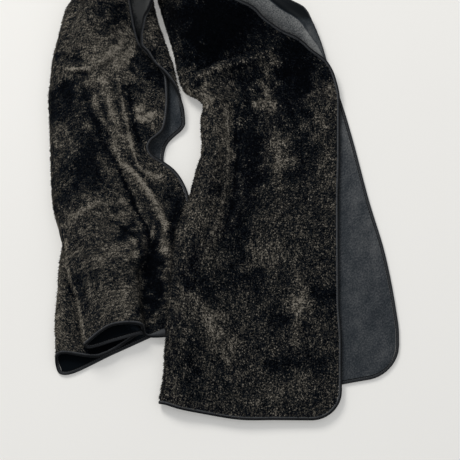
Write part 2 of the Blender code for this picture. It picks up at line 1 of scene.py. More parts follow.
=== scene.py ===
"""The looks of a long pile-cloth stole with a smooth lining and a bound edge, laid on a pale surface.

Both arms are worked out again from the same named lines as the solids, on a finer grid. The cloth then gets
its creases, its crushed pile as small leaning locks, its rolled binding and the stitches beside it.

Tables are in millimetres and give (down, across, height) unless their comment says otherwise. Down and
across lie in the plane that faces the viewer, and height is measured above the surface.
"""
import math

import bpy
import numpy as np
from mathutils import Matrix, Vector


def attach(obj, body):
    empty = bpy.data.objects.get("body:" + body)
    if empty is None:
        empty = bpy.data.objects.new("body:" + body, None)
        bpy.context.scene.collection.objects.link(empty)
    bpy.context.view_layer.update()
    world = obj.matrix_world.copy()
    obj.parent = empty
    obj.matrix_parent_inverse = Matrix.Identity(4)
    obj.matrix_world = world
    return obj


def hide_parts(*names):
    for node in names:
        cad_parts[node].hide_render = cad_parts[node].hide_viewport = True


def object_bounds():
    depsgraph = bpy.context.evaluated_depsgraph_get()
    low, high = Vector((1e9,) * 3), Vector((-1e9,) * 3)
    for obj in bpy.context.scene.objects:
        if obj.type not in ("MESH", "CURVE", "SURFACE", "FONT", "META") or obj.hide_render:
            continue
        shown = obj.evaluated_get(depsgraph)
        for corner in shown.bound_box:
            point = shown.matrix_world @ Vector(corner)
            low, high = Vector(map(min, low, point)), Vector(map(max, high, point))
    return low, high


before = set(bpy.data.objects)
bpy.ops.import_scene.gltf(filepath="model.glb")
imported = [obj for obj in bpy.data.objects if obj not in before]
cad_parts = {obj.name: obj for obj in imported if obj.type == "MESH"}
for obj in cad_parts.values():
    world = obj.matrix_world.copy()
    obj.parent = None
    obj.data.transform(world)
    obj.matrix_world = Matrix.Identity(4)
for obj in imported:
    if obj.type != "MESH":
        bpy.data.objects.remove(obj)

cad_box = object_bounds()

MM = 0.001
TINY = 1e-9
SHARP_EDGE = math.radians(55.0)

# Cloth
PILE_PLY = 2.2
LINING_PLY = 1.0
PLY_GAP = 0.3
PILE_INNER = PLY_GAP / 2
PILE_OUTER = PILE_INNER + PILE_PLY
LINING_OUTER = PLY_GAP / 2 + LINING_PLY
CORNER_RADIUS = 36.0
SMALLEST_RADIUS = 1.0

# Binding, with the painted light and shade round its section, which starts inside and runs over the pile
# face and
# back: a painted highlight on the pile face near its inner side, painted shade on its outer roll, dimmer
# under the lining
BINDING_WIDTH = 4.0
BINDING_GAP = 0.3
PLY_INSET = BINDING_WIDTH + BINDING_GAP
BINDING_PAINTED_SHADING = (0.3, 0.95, 1.0, 0.35, 0.0, 0.0, 0.0, 0.2, 0.45, 0.5, 0.4, 0.2)
BINDING_POINTS = len(BINDING_PAINTED_SHADING)
BINDING_OVER_PILE = 0.15
BINDING_OVER_LINING = 0.05
BINDING_TOP = PILE_OUTER + BINDING_OVER_PILE
BINDING_BOTTOM = -LINING_OUTER - BINDING_OVER_LINING
BINDING_SHOULDER = 0.8
STITCH_LENGTH = 2.6
STITCH_PITCH = 2.8
STITCH_WIDTH = 0.75
STITCH_HEIGHT = 0.45
STITCH_INSET = 2.7
STITCH_SUNK = 0.1
PUCKER_DEPTH = 0.14
PUCKER_LENGTH = 3 * STITCH_PITCH

# The viewer's plane: its middle, its tilt and the viewer's distance
VIEW_CENTRE = 276.0
VIEW_TILT = math.radians(20.0)
VIEW_DISTANCE = 3067.0
LENS = 200.0
SENSOR = 36.0
FARTHEST_VIEW = 20.0

# The neck: where the inner edge turns, and the section at its middle as (outward, height) rows
NECK_ACROSS = 186.5
NECK_DOWN = -6.0
NECK_SEAM = 0.2
NECK_SECTION = (
    (36.0, 56.0),
    (40.0, 46.0),
    (41.0, 32.0),
    (37.0, 16.0),
    (28.0, 5.0),
    (19.0, 3.2),
    (11.0, 8.0),
    (7.0, 20.0),
    (6.0, 36.0),
    (8.0, 52.0),
)
NECK_SWING = 1.25

# Down to this line all lines of an arm share one height in the picture, and below it each runs to its hem
SHARED_DOWN = 276.0

LEFT_LINES = {
    "front_edge": (
        (0, 157.2, 46), (48, 166.8, 16), (67, 181, 8), (94, 200.5, 6), (120, 202, 7), (144, 200, 9),
        (156, 197, 11), (163, 191, 12.5), (169, 183, 14), (176, 179.5, 14), (185, 183, 12), (193, 195, 9.5),
        (204, 209.5, 7.4), (216, 218.5, 6), (232, 225.6, 5.4), (276, 234, 5.4), (404, 243.6, 5.4),
    ),
    "step_foot": (
        (0, 135.6, 47), (54, 146, 21), (108, 168, 14), (156, 168, 13), (198, 178, 11), (232, 188, 8.5),
        (276, 182, 8), (306, 177.5, 6.8), (314, 171, 6.4), (328, 167, 6), (344, 169, 5.8),
        (404, 174.5, 5.8),
    ),
    "step_top": (
        (0, 118, 45), (54, 126, 28), (108, 140, 19), (156, 143, 17), (198, 148, 14), (240, 154, 12),
        (268, 152, 11), (284, 155, 15), (298, 168, 18), (307, 171, 18.5), (318, 164, 18.5),
        (330, 160, 19), (366, 165, 19.5), (391, 168, 20),
    ),
    "crown": (
        (0, 103, 35), (54, 94, 26), (108, 90, 21), (156, 90, 19.5), (232, 94, 19), (276, 102, 19.5),
        (328, 115, 22), (367, 125, 23.5), (392, 134, 24.5),
    ),
    "upper_fold": ((270, 73.5, 17), (332, 83, 18), (368, 95, 18.5), (400, 99, 19.5), (415, 103, 19.5)),
    "inner_fold": ((270, 76, 12), (290, 84, 12), (332, 116, 12), (368, 148, 12), (401, 171.5, 12)),
    "lower_fold": ((276, 73, 5.4), (348, 70.8, 5.4), (384, 67.6, 5.4), (437, 68.4, 5.4)),
    "left_side": (
        (0, 87.6, 24), (12, 80.4, 23), (24, 76.8, 22), (48, 70.8, 20), (72, 64.8, 18), (96, 62.4, 17),
        (120, 60, 16.5), (144, 61.2, 16), (180, 62.4, 16), (228, 63.6, 16.5), (252, 66, 17),
        (276, 72, 18), (288, 73.2, 19),
    ),
    "flap_fold": (
        (0, 182, 24), (23, 187, 20), (43, 193.8, 14), (62, 200.4, 10), (83, 207.6, 8), (97, 210, 7.2),
        (108, 213, 6.2), (117, 214.6, 5.6), (126, 213.4, 5), (137, 209, 3.6), (148, 202, 2.5),
        (163, 190, 2.35), (191, 178, 2.35), (264, 192, 2.35), (390, 214, 2.35),
    ),
    "back_edge": (
        (0, 181, 39), (11, 176, 36), (20, 171.4, 32), (30, 169.6, 28), (41, 167.8, 24), (55, 168, 21),
        (62, 175, 18), (76, 184.3, 15), (89, 198, 13), (104, 208, 12), (118, 215.5, 11), (132, 220.8, 8),
        (148, 222.4, 5), (155, 219.2, 4), (163, 210.4, 3.2), (171, 202.4, 2.6), (179, 198.4, 2.4),
        (191, 196.4, 2.35), (216, 201.6, 2.35), (264, 213.6, 2.35), (312, 228, 2.35), (385, 247, 2.35),
    ),
}

# Folds of the pleat: the side each points to, its radius and how far its lower bend runs past its upper
LEFT_FOLDS = {"upper_fold": (-1, 3.0, 6.0), "inner_fold": (1, 3.0, 0.0), "lower_fold": (-1, 2.9, 22.0)}
PLEAT_LAYER_SLIP = 15.0
FLAP_RADIUS = ((0, 9), (23, 8), (43, 7), (62, 6), (83, 4.6), (110, 3.6), (125, 2.6))
SIDE_BULGE = 13.0
PLEAT_OPENS = (264.0, 316.0)
PLEAT_LENGTH = 120.0
LOWER_LAYER_START = (1.5, 11.0)
FLAP_ENDS = (112.0, 132.0)
FLAP_BELOW_SHARE = 0.8
FLAP_ABOVE_SHARE = 0.4
FLAP_LIFT_SHARE = 0.2

RIGHT_LINES = {
    "back_edge": (
        (0, 349, 18), (4, 357.6, 16), (8, 364.8, 13), (16, 370.8, 10), (23, 373.8, 8), (35, 379.2, 6),
        (54, 386.4, 4), (70, 391.2, 3), (94, 399.6, 2.4), (120, 409.2, 2.35), (168, 423.6, 2.35),
        (240, 442.8, 2.35), (306, 462.6, 2.35), (370, 475.2, 2.35), (400, 479, 2.35), (449, 479.5, 2.35),
    ),
    "crest": (
        (0, 321.6, 44), (12, 336, 38), (20, 350.4, 33), (29, 361.2, 29), (38, 367.2, 25), (52, 378, 18),
        (62, 384, 12), (72, 388, 7.5), (96, 388, 2.8), (120, 388, 2.35), (168, 395, 2.35),
        (240, 408, 2.35), (306, 412, 2.35), (370, 412, 2.35), (461, 412, 2.35),
    ),
    "slit_fold": (
        (0, 191, 14), (17, 195.6, 13), (40, 202.8, 12), (65, 210, 10), (88, 214.8, 9), (104, 219.6, 8.8),
        (112, 226, 9), (118, 238, 9), (125, 244.8, 9), (130, 245.5, 9), (144, 242.4, 9), (158, 242.4, 9.5),
        (170, 243.6, 10), (186, 242.4, 11), (202, 237, 13.5), (218, 232.8, 16), (232, 229.2, 17),
        (240, 226.8, 17), (280, 212.4, 17), (320, 207.6, 17), (360, 204, 17), (404, 200.4, 17),
        (424, 199, 13), (444, 198, 8.6), (485, 192, 6.15),
    ),
    "puff": (
        (0, 213.6, 44), (40, 223, 32), (72, 234, 21), (96, 243.6, 16), (120, 258, 18), (132, 260, 20),
        (168, 259, 20), (216, 251, 25), (236, 247, 27), (276, 234, 27), (317, 225.6, 26), (360, 223, 24.5),
        (404, 221, 24), (424, 219.5, 19), (444, 218.4, 14), (491, 214, 10),
    ),
    "groove": (
        (0, 236.4, 51), (40, 252, 37), (72, 266.4, 22), (96, 272, 13), (132, 278.4, 10), (216, 272.4, 12),
        (236, 270, 15), (262, 262.8, 18), (289, 253.2, 20), (317, 246, 21.5), (360, 246, 20.5),
        (404, 246, 19), (424, 245, 15), (444, 243.6, 11), (497, 243.6, 8),
    ),
    "panel": (
        (0, 252, 54), (40, 278.4, 39), (72, 300, 22), (102, 307, 12), (132, 307, 10), (216, 302.4, 9.5),
        (276, 295, 10.5), (317, 288, 11), (360, 285.6, 10.5), (400, 285.6, 9.5), (440, 285.6, 8.5),
        (504, 288, 7.5),
    ),
    "front_edge": (
        (0, 290, 51), (5, 301, 48.5), (10, 308, 46), (20, 316.8, 40), (29, 328.8, 35), (37, 340.8, 30),
        (43, 355.2, 26), (50, 364.8, 22), (58, 373.2, 18.5), (65, 382.8, 15), (73, 392.4, 12),
        (91, 402, 8.5), (120, 408, 6), (180, 408, 5.3), (240, 406.8, 5.2), (360, 407.4, 5.2),
        (414, 410.4, 5.2), (505, 410.4, 5.2),
    ),
}
SLIT_RADIUS = (
    (0, 9), (40, 8.5), (65, 7), (88, 6.3), (144, 6.4), (186, 6.6), (218, 6), (320, 5.8), (404, 5.5),
    (424, 5), (444, 4.6), (485, 3.8),
)
SLIT_PUFF_SHARE = 0.45
SLIT_ROUND_SHARE = 0.4
TUCK_WIDTH = 43.0
TUCK_DEPTH = 9.0
TUCK_SLIP = 9.0
TUCK_LIFT_SHARE = 0.35
UNDERLAY_REACH = 33.0
EDGE_PANEL_SHARE = 0.3
LAYER_GAP = 0.4
FLOOR_HEIGHT = PILE_OUTER
SECOND_HEIGHT = FLOOR_HEIGHT + 2 * LINING_OUTER + LAYER_GAP

# The grid that the cloth is worked out on, and the cells between each two lines of the section. Cells of the
# first and last span crowd towards the free edge.
DENSE_STEPS = 24
DENSE_ROW = 2.5
HEM_GRID_ROWS = 73
NECK_GRID_ROWS = 46
NECK_START = -60.0
EDGE_SPANS = 2
EDGE_ROWS = 12
EDGE_CROWDING = 1.5
SMALLEST_PACE = 1e-6
LEFT_CELLS = (14, 16, 24, 30, 20, 7, 4, 4, 4, 4, 3, 5, 9, 4, 4, 6, 6, 11, 8, 8, 10)
RIGHT_CELLS = (10, 9, 8, 5, 5, 5, 7, 9, 14, 16, 22, 20, 18, 20)

# Creases of the top layer, as height, width on both sides of the path, painted shading, and the path's
# (across, down) points. The first width is on the left of a path that runs down and below one that runs to
# the right. The painted shading puts a painted highlight on a ridge's crest and painted shade on its flanks,
# the other way round in a trough.
LEFT_CREASES = (
    (3.5, 11.0, 9.0, 0.4, ((125, 94), (130, 114), (132, 130), (139, 144), (146, 163), (152, 180))),
    (5.0, 9.0, 6.5, 0.65, (
        (144, 186), (156, 204), (172, 223), (185, 242), (197, 262), (200, 278), (200, 314),
    )),
    (1.5, 2.2, 6.0, 0.65, (
        (113, 104), (114, 125), (121, 140), (134, 157), (137, 174), (140, 190), (147, 197), (162, 209),
        (174, 224), (184, 243),
    )),
    (1.5, 6.0, 2.2, 0.7, (
        (142, 98), (147, 119), (149, 134), (152, 150), (155, 163), (160, 181), (164, 198), (170, 204),
        (181, 208), (197, 215),
    )),
    (-2.2, 7.0, 4.0, -1.0, (
        (136, 186), (142, 202), (156, 230), (167, 258), (176, 274), (184, 298), (184, 314),
    )),
    (-1.4, 8.0, 5.0, -0.6, ((103, 108), (108, 132), (120, 154), (127, 180), (132, 198))),
    (-1.4, 5.0, 8.0, -0.7, ((154, 103), (156, 126), (160, 150), (167, 174), (172, 192))),
    (3.0, 5.0, 8.0, 0.35, ((66, 79), (91, 83), (108, 80), (125, 71), (142, 56), (156, 40))),
    (0.8, 2.0, 3.0, 1.0, ((62, 80), (78, 82), (96, 83), (110, 81))),
    (-1.4, 5.0, 7.0, -0.7, ((70, 68), (86, 71), (100, 72))),
    (-1.2, 7.0, 4.0, -0.6, ((66, 94), (86, 98), (100, 96))),
    (1.4, 4.5, 7.0, 0.5, ((66, 264), (88, 259), (112, 246), (132, 243))),
    (1.1, 8.0, 5.0, 0.6, ((164, 143), (178, 138), (190, 136))),
    (1.2, 3.0, 3.0, 0.9, ((184, 268), (183, 284), (181, 302))),
    (-1.1, 9.0, 6.0, -0.4, ((128, 262), (146, 270), (158, 284))),
    (0.9, 9.0, 7.0, 0.3, ((92, 300), (104, 330), (110, 366))),
    (0.8, 6.0, 9.0, 0.3, ((140, 312), (148, 344), (150, 378))),
)
RIGHT_CREASES = (
    (3.0, 9.0, 9.0, 0.0, ((226, 112), (244, 99), (270, 83), (312, 69))),
    (1.8, 4.0, 2.0, 0.7, ((219, 104), (230, 95), (247, 87), (260, 81), (277, 77), (289, 73), (316, 67))),
    (-1.2, 4.0, 6.0, -0.8, ((222, 92), (240, 82), (262, 72), (290, 64))),
    (1.6, 6.0, 2.4, 0.5, (
        (266, 114), (272, 140), (273, 168), (273, 205), (272, 228), (265, 254), (259, 271), (251, 294),
        (242, 322),
    )),
    (-1.3, 4.0, 8.0, -0.7, (
        (280, 126), (283, 168), (282, 205), (281, 232), (273, 262), (266, 284), (258, 306),
    )),
    (0.8, 4.0, 2.0, 0.6, ((292, 122), (287, 150), (286, 168), (283, 184), (280, 202))),
    (1.3, 2.5, 2.5, 0.9, ((223, 246), (218, 268), (212, 288), (209, 301), (206, 324))),
    (1.1, 2.2, 2.2, 0.7, ((227, 275), (220, 288), (214, 300))),
    (-1.2, 2.5, 2.5, -0.8, ((224, 262), (218, 278), (212, 296))),
    (0.9, 2.2, 2.2, 0.6, ((259, 283), (254, 295), (248, 319))),
    (0.9, 2.2, 2.2, 0.6, ((229, 248), (238, 238), (250, 227))),
    (0.7, 2.2, 2.2, 0.5, ((226, 243), (233, 236), (240, 229))),
    (-1.3, 5.0, 5.0, -0.5, ((228, 210), (238, 224), (252, 232))),
    (0.8, 10.0, 14.0, 0.2, ((330, 120), (336, 190), (330, 260))),
    (0.9, 8.0, 12.0, 0.2, ((232, 330), (246, 370), (252, 420), (250, 462))),
    (0.7, 10.0, 10.0, 0.2, ((352, 300), (360, 360), (352, 430))),
)
CREASE_SHARPNESS = 1.6
CREASE_FADE = 0.7
CREASE_ENDS = (0.08, 0.84)
# Painted shading of the creases as (weight, narrowing): a narrow bell for the crest and a wide one for the
# flanks
CREST_PAINTED_SHADING = (2.7, 1.7)
FLANK_PAINTED_SHADING = (-1.0, 0.7)

# Ripples of the hidden stretches, as the first and last line, the first and last place down, and height
LEFT_RIPPLES = ((-2.0, 23.0, -60, 0, 1.2), (5.0, 12.5, 6, 262, 0.7))
RIGHT_RIPPLES = ((-2.0, 16.0, -60, 0, 1.2), (5.5, 8.5, 6, 300, 0.5))
RIPPLE_STRETCH = 0.45
# Painted shading of the ripples: lighter where they rise and darker where they sink
RIPPLE_PAINTED_SHADING = 0.4
RIPPLE_SEED = 60

# Light and dark patches on the pile, as across, down, reach across, reach down and tone. They are partly the
# pile's own
# mottling and partly painted light: painted shade where the cloth slopes away from the light or lies under
# folds, and painted highlights on lit rises
LEFT_MOTTLE_AND_PAINTED_SHADING = (
    (140, 180, 110, 300, 0.3), (84, 30, 22, 26, 0.3), (114, 52, 26, 16, 0.4), (138, 68, 20, 20, 0.8),
    (118, 94, 14, 13, 0.7), (76, 128, 18, 24, -1.0), (146, 168, 9, 22, 0.5),
    (158, 48, 9, 16, 0.6), (136, 16, 10, 18, -0.8), (78, 62, 12, 8, -0.7), (84, 108, 20, 14, -1.0),
    (130, 122, 12, 16, 0.4), (157, 113, 9, 12, -1.2), (176, 141, 14, 8, 1.0), (168, 160, 15, 9, -1.0),
    (170, 175, 4, 5, 0.8), (112, 162, 15, 28, -1.0), (74, 150, 12, 30, 0.2), (104, 204, 26, 26, -1.1),
    (104, 256, 26, 10, 0.6), (78, 270, 14, 9, 0.6), (80, 246, 12, 14, -0.6), (183, 211, 15, 7, 0.9),
    (139, 246, 9, 9, 0.4), (160, 281, 18, 11, -1.3), (156, 302, 18, 12, 0.9), (125, 310, 12, 14, 0.5),
    (98, 344, 10, 20, -0.7), (140, 326, 12, 9, -0.3), (142, 360, 30, 20, 0.4), (200, 298, 4, 26, 0.7),
    (181, 334, 13, 56, -1.7), (183, 286, 3, 14, 1.2), (152, 240, 8, 20, -0.9), (210, 258, 11, 36, -1.2),
    (172, 72, 12, 14, -1.1), (186, 92, 12, 12, -1.4), (78, 390, 14, 36, 0.1), (180, 40, 7, 14, 0.4),
)
RIGHT_MOTTLE_AND_PAINTED_SHADING = (
    (260, 24, 60, 34, -2.2), (250, 64, 38, 14, -1.3), (352, 74, 34, 30, -1.4), (222, 46, 12, 16, 0.9),
    (322, 76, 6, 20, 1.3), (298, 104, 14, 30, -0.7), (350, 128, 16, 32, -0.9), (366, 190, 18, 32, -0.6),
    (315, 118, 10, 20, 1.3), (246, 108, 15, 13, 1.1), (224, 107, 5, 7, -0.9), (264, 162, 8, 44, 0.8),
    (281, 150, 5, 34, 0.4), (236, 200, 12, 40, 0.2), (300, 186, 17, 60, -1.1), (334, 184, 14, 24, 0.6),
    (377, 145, 10, 8, 1.0), (370, 118, 5, 12, 0.8), (402, 110, 6, 22, 0.8), (364, 92, 14, 20, -0.7),
    (390, 200, 16, 40, 0.4), (260, 226, 7, 8, -1.0), (236, 258, 20, 32, 0.5), (287, 283, 12, 50, -1.0),
    (320, 302, 28, 24, 0.5), (359, 265, 9, 8, 0.5), (221, 323, 10, 5, -1.3), (236, 343, 22, 10, -1.1),
    (292, 338, 26, 10, -0.8), (216, 358, 8, 14, 0.7), (236, 368, 12, 12, 0.8), (254, 392, 14, 14, 1.1),
    (272, 420, 13, 14, 0.9), (362, 362, 16, 18, 0.8), (350, 392, 14, 14, 0.4), (388, 356, 10, 18, -0.9),
    (334, 382, 7, 16, -0.8), (228, 446, 10, 24, -1.0), (342, 433, 14, 14, -1.0), (377, 434, 14, 12, -0.8),
    (211, 468, 12, 16, 0.4), (325, 475, 18, 14, 0.6), (359, 458, 12, 12, 0.4),
)
# Painted light and shade on the lining, as across, down, reach across, reach down and tone: painted
# highlights where it faces the light, painted shade in the pockets at the hems and beside the gap between
# the arms
LEFT_LINING_PAINTED_SHADING = (
    (170, 2, 14, 18, 2.5), (168, 26, 8, 14, 1.6), (196, 120, 12, 16, -0.9), (206, 146, 14, 12, -0.3),
    (128, 404, 40, 24, -3.4), (90, 436, 30, 20, -3.4),
)
RIGHT_LINING_PAINTED_SHADING = (
    (372, 38, 6, 12, 0.9), (382, 60, 8, 14, 0.5), (420, 160, 12, 40, 0.7), (432, 240, 16, 60, 0.35),
    (452, 290, 12, 56, 0.4), (430, 340, 14, 60, 0.2), (452, 420, 26, 20, 0.2),
)
PATCH_FLATNESS = 1.7
PATCH_SEED = 40
LINING_PATCH_SEED = 50

# Bands of painted light and shade, as first and last line of the section, first and last place down, and
# tone:
# painted highlights along lit rims of folds and on the lining's rise at the top of the right arm, painted
# shade in the pockets at the hems, under the slit fold and beyond that rise; the left lining is a little
# darker near its front edge
LEFT_PAINTED_BANDS = ((5.1, 6.2, 290, 460, 0.9), (12.75, 14.2, 290, 460, 0.5), (11.0, 12.3, 396, 460, -2.2))
RIGHT_PAINTED_BANDS = ((6.2, 7.1, 120, 250, -0.8),)
LEFT_LINING_PAINTED_BANDS = ((0.0, 3.0, 0, 460, -0.2),)
RIGHT_LINING_PAINTED_BANDS = ((1.96, 3.2, -60, 66, 1.3), (0.0, 1.9, -60, 16, -2.6), (0.0, 1.9, 22, 30, -0.8))
BAND_FADE = 9.0

# How far the rims of the patches are pulled about, and the size of the waves that pull them
PILE_WARPS = ((5.0, 30.0), (2.8, 10.0))
LINING_WARPS = ((0.8, 22.0),)

# Where locks of pile stand, as the first and last line of the section and the first and last place down
LEFT_NAP = (
    (0.0, 13.0, -60, 264), (0.0, 7.7, 264, 460), (11.8, 14.7, 264, 460), (17.6, 21.0, -60, 140),
    (13.0, 17.6, -60, 2),
)
RIGHT_NAP = ((5.6, 14.0, -60, 520), (0.0, 5.6, -60, 12))
LOCK_COUNT = 34000
LOCK_LENGTH = (2.6, 4.8)
LOCK_WIDTH = (0.7, 1.15)
LOCK_RISE = (0.35, 1.25)
LOCK_SWING = (0.7, 34.0, 0.55)
LOCK_UPRIGHT = (-0.6, 1.4)
LOCK_SHORTER = 0.35
LOCK_SUNK = 0.5
LOCK_ROOM = 0.8
LOCK_CLEAR = 1.3
LOCK_FLOOR = 0.05
LEFT_LOCK_SEEDS = (104,)
RIGHT_LOCK_SEEDS = (105, 115)
CLUMP_SIZE = 9.0
CLUMP_HEIGHT = 0.22
CLUMP_SEED = 7
WAVE_COUNT = 18
WAVE_STRETCH = (0.7, 1.4)

# Surface and light in metres and watts; each lamp has its name, spot, aim, size, power and colour
STAGE_TOP = -0.0002
STAGE_REACH = 8.0
STAGE_BEND = 4.0
STAGE_RISE = 1.2
STAGE_CELLS = 80
# The surface's glow is painted light: it brightens the surface even where the lamps leave it in shade, as in
# the gap between the arms
STAGE_PAINTED_GLOW = 0.25
STAGE_PAINTED_GLOW_COLOUR = (1.0, 0.985, 0.95, 1.0)
SKY_COLOUR = (0.93, 0.96, 1.0, 1.0)
SKY_STRENGTH = 0.42
LAMPS = (
    ("window", (-1.3, 2.1, 1.9), (0.0, 0.05, 0.0), 1.2, 64.0, (1.0, 0.985, 0.96)),
    ("room", (1.6, -0.8, 2.2), (0.0, 0.0, 0.0), 2.0, 5.0, (0.97, 0.98, 1.0)),
)


def smoothstep(value, start, end):
    """Rise from 0 at start to 1 at end with level ends."""
    share = np.clip((np.asarray(value, float) - start) / (end - start), 0.0, 1.0)
    return share * share * (3.0 - 2.0 * share)


def follow(rows, at):
    """Read a table at the places in at, by a cubic that keeps level where the table turns."""
    table = np.array(rows, float)
    place_column, values = table[:, 0], table[:, 1:]
    step = np.diff(place_column)[:, None]
    slope = np.diff(values, axis=0) / step
    turning = slope[:-1] * slope[1:] <= 0.0
    joined = slope[:-1] + slope[1:]
    mean = np.where(turning, 0.0, 2.0 * slope[:-1] * slope[1:] / np.where(turning, 1.0, joined))
    tangent = np.vstack([slope[:1], mean, slope[-1:]])
    at = np.clip(np.asarray(at, float), place_column[0], place_column[-1])
    index = np.clip(np.searchsorted(place_column, at, side="right") - 1, 0, len(step) - 1)
    share = ((at - place_column[index]) / step[index, 0])[:, None]
    return (
        values[index] * (1 + 2 * share) * (1 - share) ** 2
        + values[index + 1] * share**2 * (3 - 2 * share)
        + step[index] * share * (1 - share) * (tangent[index] * (1 - share) - tangent[index + 1] * share)
    )


def place(across, down, height):
    """Carry a point of the viewer's plane along the line of sight to its height above the surface."""
    right = across - VIEW_CENTRE
    up = VIEW_CENTRE - down
    eye_y = -VIEW_DISTANCE * math.sin(VIEW_TILT)
    eye_z = VIEW_DISTANCE * math.cos(VIEW_TILT)
    reach = (height - eye_z) / (up * math.sin(VIEW_TILT) - eye_z)
    return np.stack([reach * right, eye_y + reach * (up * math.cos(VIEW_TILT) - eye_y), height], axis=-1)


def between(first, second, share):
    """The line that lies a share of the way from the first line to the second."""
    return first + (second - first) * share


def unit(vectors):
    """The same directions with a length of one."""
    return vectors / (np.linalg.norm(vectors, axis=-1, keepdims=True) + TINY)


def travelled_along(points):
    """Distance travelled along a line of points, from its first one."""
    return np.concatenate([[0.0], np.cumsum(np.linalg.norm(np.diff(points, axis=0), axis=1))])


def cell_areas(points):
    """Area of each cell of a grid: half the length of the cross product of its diagonals."""
    first_diagonal = points[1:, 1:] - points[:-1, :-1]
    second_diagonal = points[1:, :-1] - points[:-1, 1:]
    return np.linalg.norm(np.cross(first_diagonal, second_diagonal), axis=2) / 2


def grid_faces(index):
    """Four-sided faces between the neighbours of a grid of corner numbers."""
    return np.stack([index[:-1, :-1], index[:-1, 1:], index[1:, 1:], index[1:, :-1]], -1).reshape(-1, 4)


def line(down, across, height):
    """One line of the section, as rows of (down, across, height)."""
    return np.stack(np.broadcast_arrays(down, across, height), axis=-1).astype(float)


def run(rows, down, share):
    """A table's line at the rows of an arm: shared rows by down, and the rest by its share to the hem."""
    hem = rows[-1][0]
    at = np.where(share > 0.0, SHARED_DOWN + share * (hem - SHARED_DOWN), down)
    values = follow(rows, at)
    return line(at, values[:, 0], values[:, 1])


def hairpin(tip, radius, side, slip=0.0):
    """Three lines round a fold: its upper bend, its tip and its lower bend, the tip pointing to side."""
    upper = tip + line(-slip / 2, -side * radius, radius)
    lower = tip + line(slip / 2, -side * radius, -radius)
    return upper, tip, lower


def left_sections(down, share):
    """The left arm's lines, from the front edge over the top layer and round to the back edge."""
    named = {name: run(rows, down, share) for name, rows in LEFT_LINES.items()}
    front, foot, top, crown = (named[name] for name in ("front_edge", "step_foot", "step_top", "crown"))
    pleat = []
    for name, (side, radius, slip) in LEFT_FOLDS.items():
        pleat.append(hairpin(named[name], radius, side, slip * share))
    first, second, third = pleat
    folded = [*first, between(first[2], second[0], 0.5), *second, between(second[2], third[0], 0.5), *third]
    folded[7] = folded[7] + line(PLEAT_LAYER_SLIP * share, 0.0, 0.0)
    side_tip = named["left_side"]
    middle = (side_tip[:, 2] + FLOOR_HEIGHT) / 2
    half_height = (side_tip[:, 2] - FLOOR_HEIGHT) / 2
    opened = smoothstep(down + share * PLEAT_LENGTH, *PLEAT_OPENS)[:, None]
    cluster = []
    for angle, pleated in zip(np.linspace(math.pi / 2, -math.pi / 2, len(folded)), folded):
        across = side_tip[:, 1] + SIDE_BULGE * (1 - math.cos(angle))
        plain = line(pleated[:, 0], across, middle + half_height * math.sin(angle))
        cluster.append(between(plain, pleated, opened))
    tip = named["flap_fold"]
    edge = named["back_edge"]
    start_down, start_across = LOWER_LAYER_START
    near = line(cluster[-1][:, 0] + start_down * share, cluster[-1][:, 1] + start_across, FLOOR_HEIGHT)
    radius = follow(FLAP_RADIUS, tip[:, 0])[:, 0]
    inward = np.clip((tip[:, 1] - edge[:, 1]) / 2, -radius, radius)
    turned = 1.0 - smoothstep(tip[:, 0], *FLAP_ENDS)[:, None]
    below = between(between(near, tip, FLAP_BELOW_SHARE), tip + line(0.0, -radius, -radius), turned)
    below[:, 2] = np.maximum(below[:, 2], FLOOR_HEIGHT)
    above = between(between(tip, edge, FLAP_ABOVE_SHARE), tip + line(0.0, -inward, radius), turned)
    far = between(near, below, 0.5)
    far[:, 2] = FLOOR_HEIGHT + FLAP_LIFT_SHARE * (below[:, 2] - FLOOR_HEIGHT)
    return [
        front, between(front, foot, 0.5), foot, top, crown, *cluster,
        near, far, below, tip, above, edge,
    ]


def right_sections(down, share):
    """The right arm's lines, from the back edge under the top layer, round the slit to the front edge."""
    named = {name: run(rows, down, share) for name, rows in RIGHT_LINES.items()}
    back, crest, slit, puff = (named[name] for name in ("back_edge", "crest", "slit_fold", "puff"))
    groove, panel, front = (named[name] for name in ("groove", "panel", "front_edge"))
    radius = follow(SLIT_RADIUS, slit[:, 0])[:, 0]
    upper, tip, lower = hairpin(slit, radius, -1)
    upper = between(upper, between(tip, puff, SLIT_PUFF_SHARE), SLIT_ROUND_SHARE)
    tuck = line(crest[:, 0] + TUCK_SLIP * share, crest[:, 1] - TUCK_WIDTH, 0.0)
    tuck[:, 2] = np.maximum(front[:, 2] - TUCK_DEPTH, FLOOR_HEIGHT)
    near = line(slit[:, 0], slit[:, 1] + UNDERLAY_REACH, slit[:, 2] - radius)
    hidden = between(tuck, near, 0.5)
    hidden[:, 2] = FLOOR_HEIGHT + TUCK_LIFT_SHARE * (tuck[:, 2] - FLOOR_HEIGHT)
    beside = between(front, panel, EDGE_PANEL_SHARE)
    middle = between(panel, beside, 0.5)
    return [
        back, between(back, crest, 0.5), crest, tuck, hidden, near, lower, tip, upper, puff,
        groove, panel, middle, beside, front,
    ]


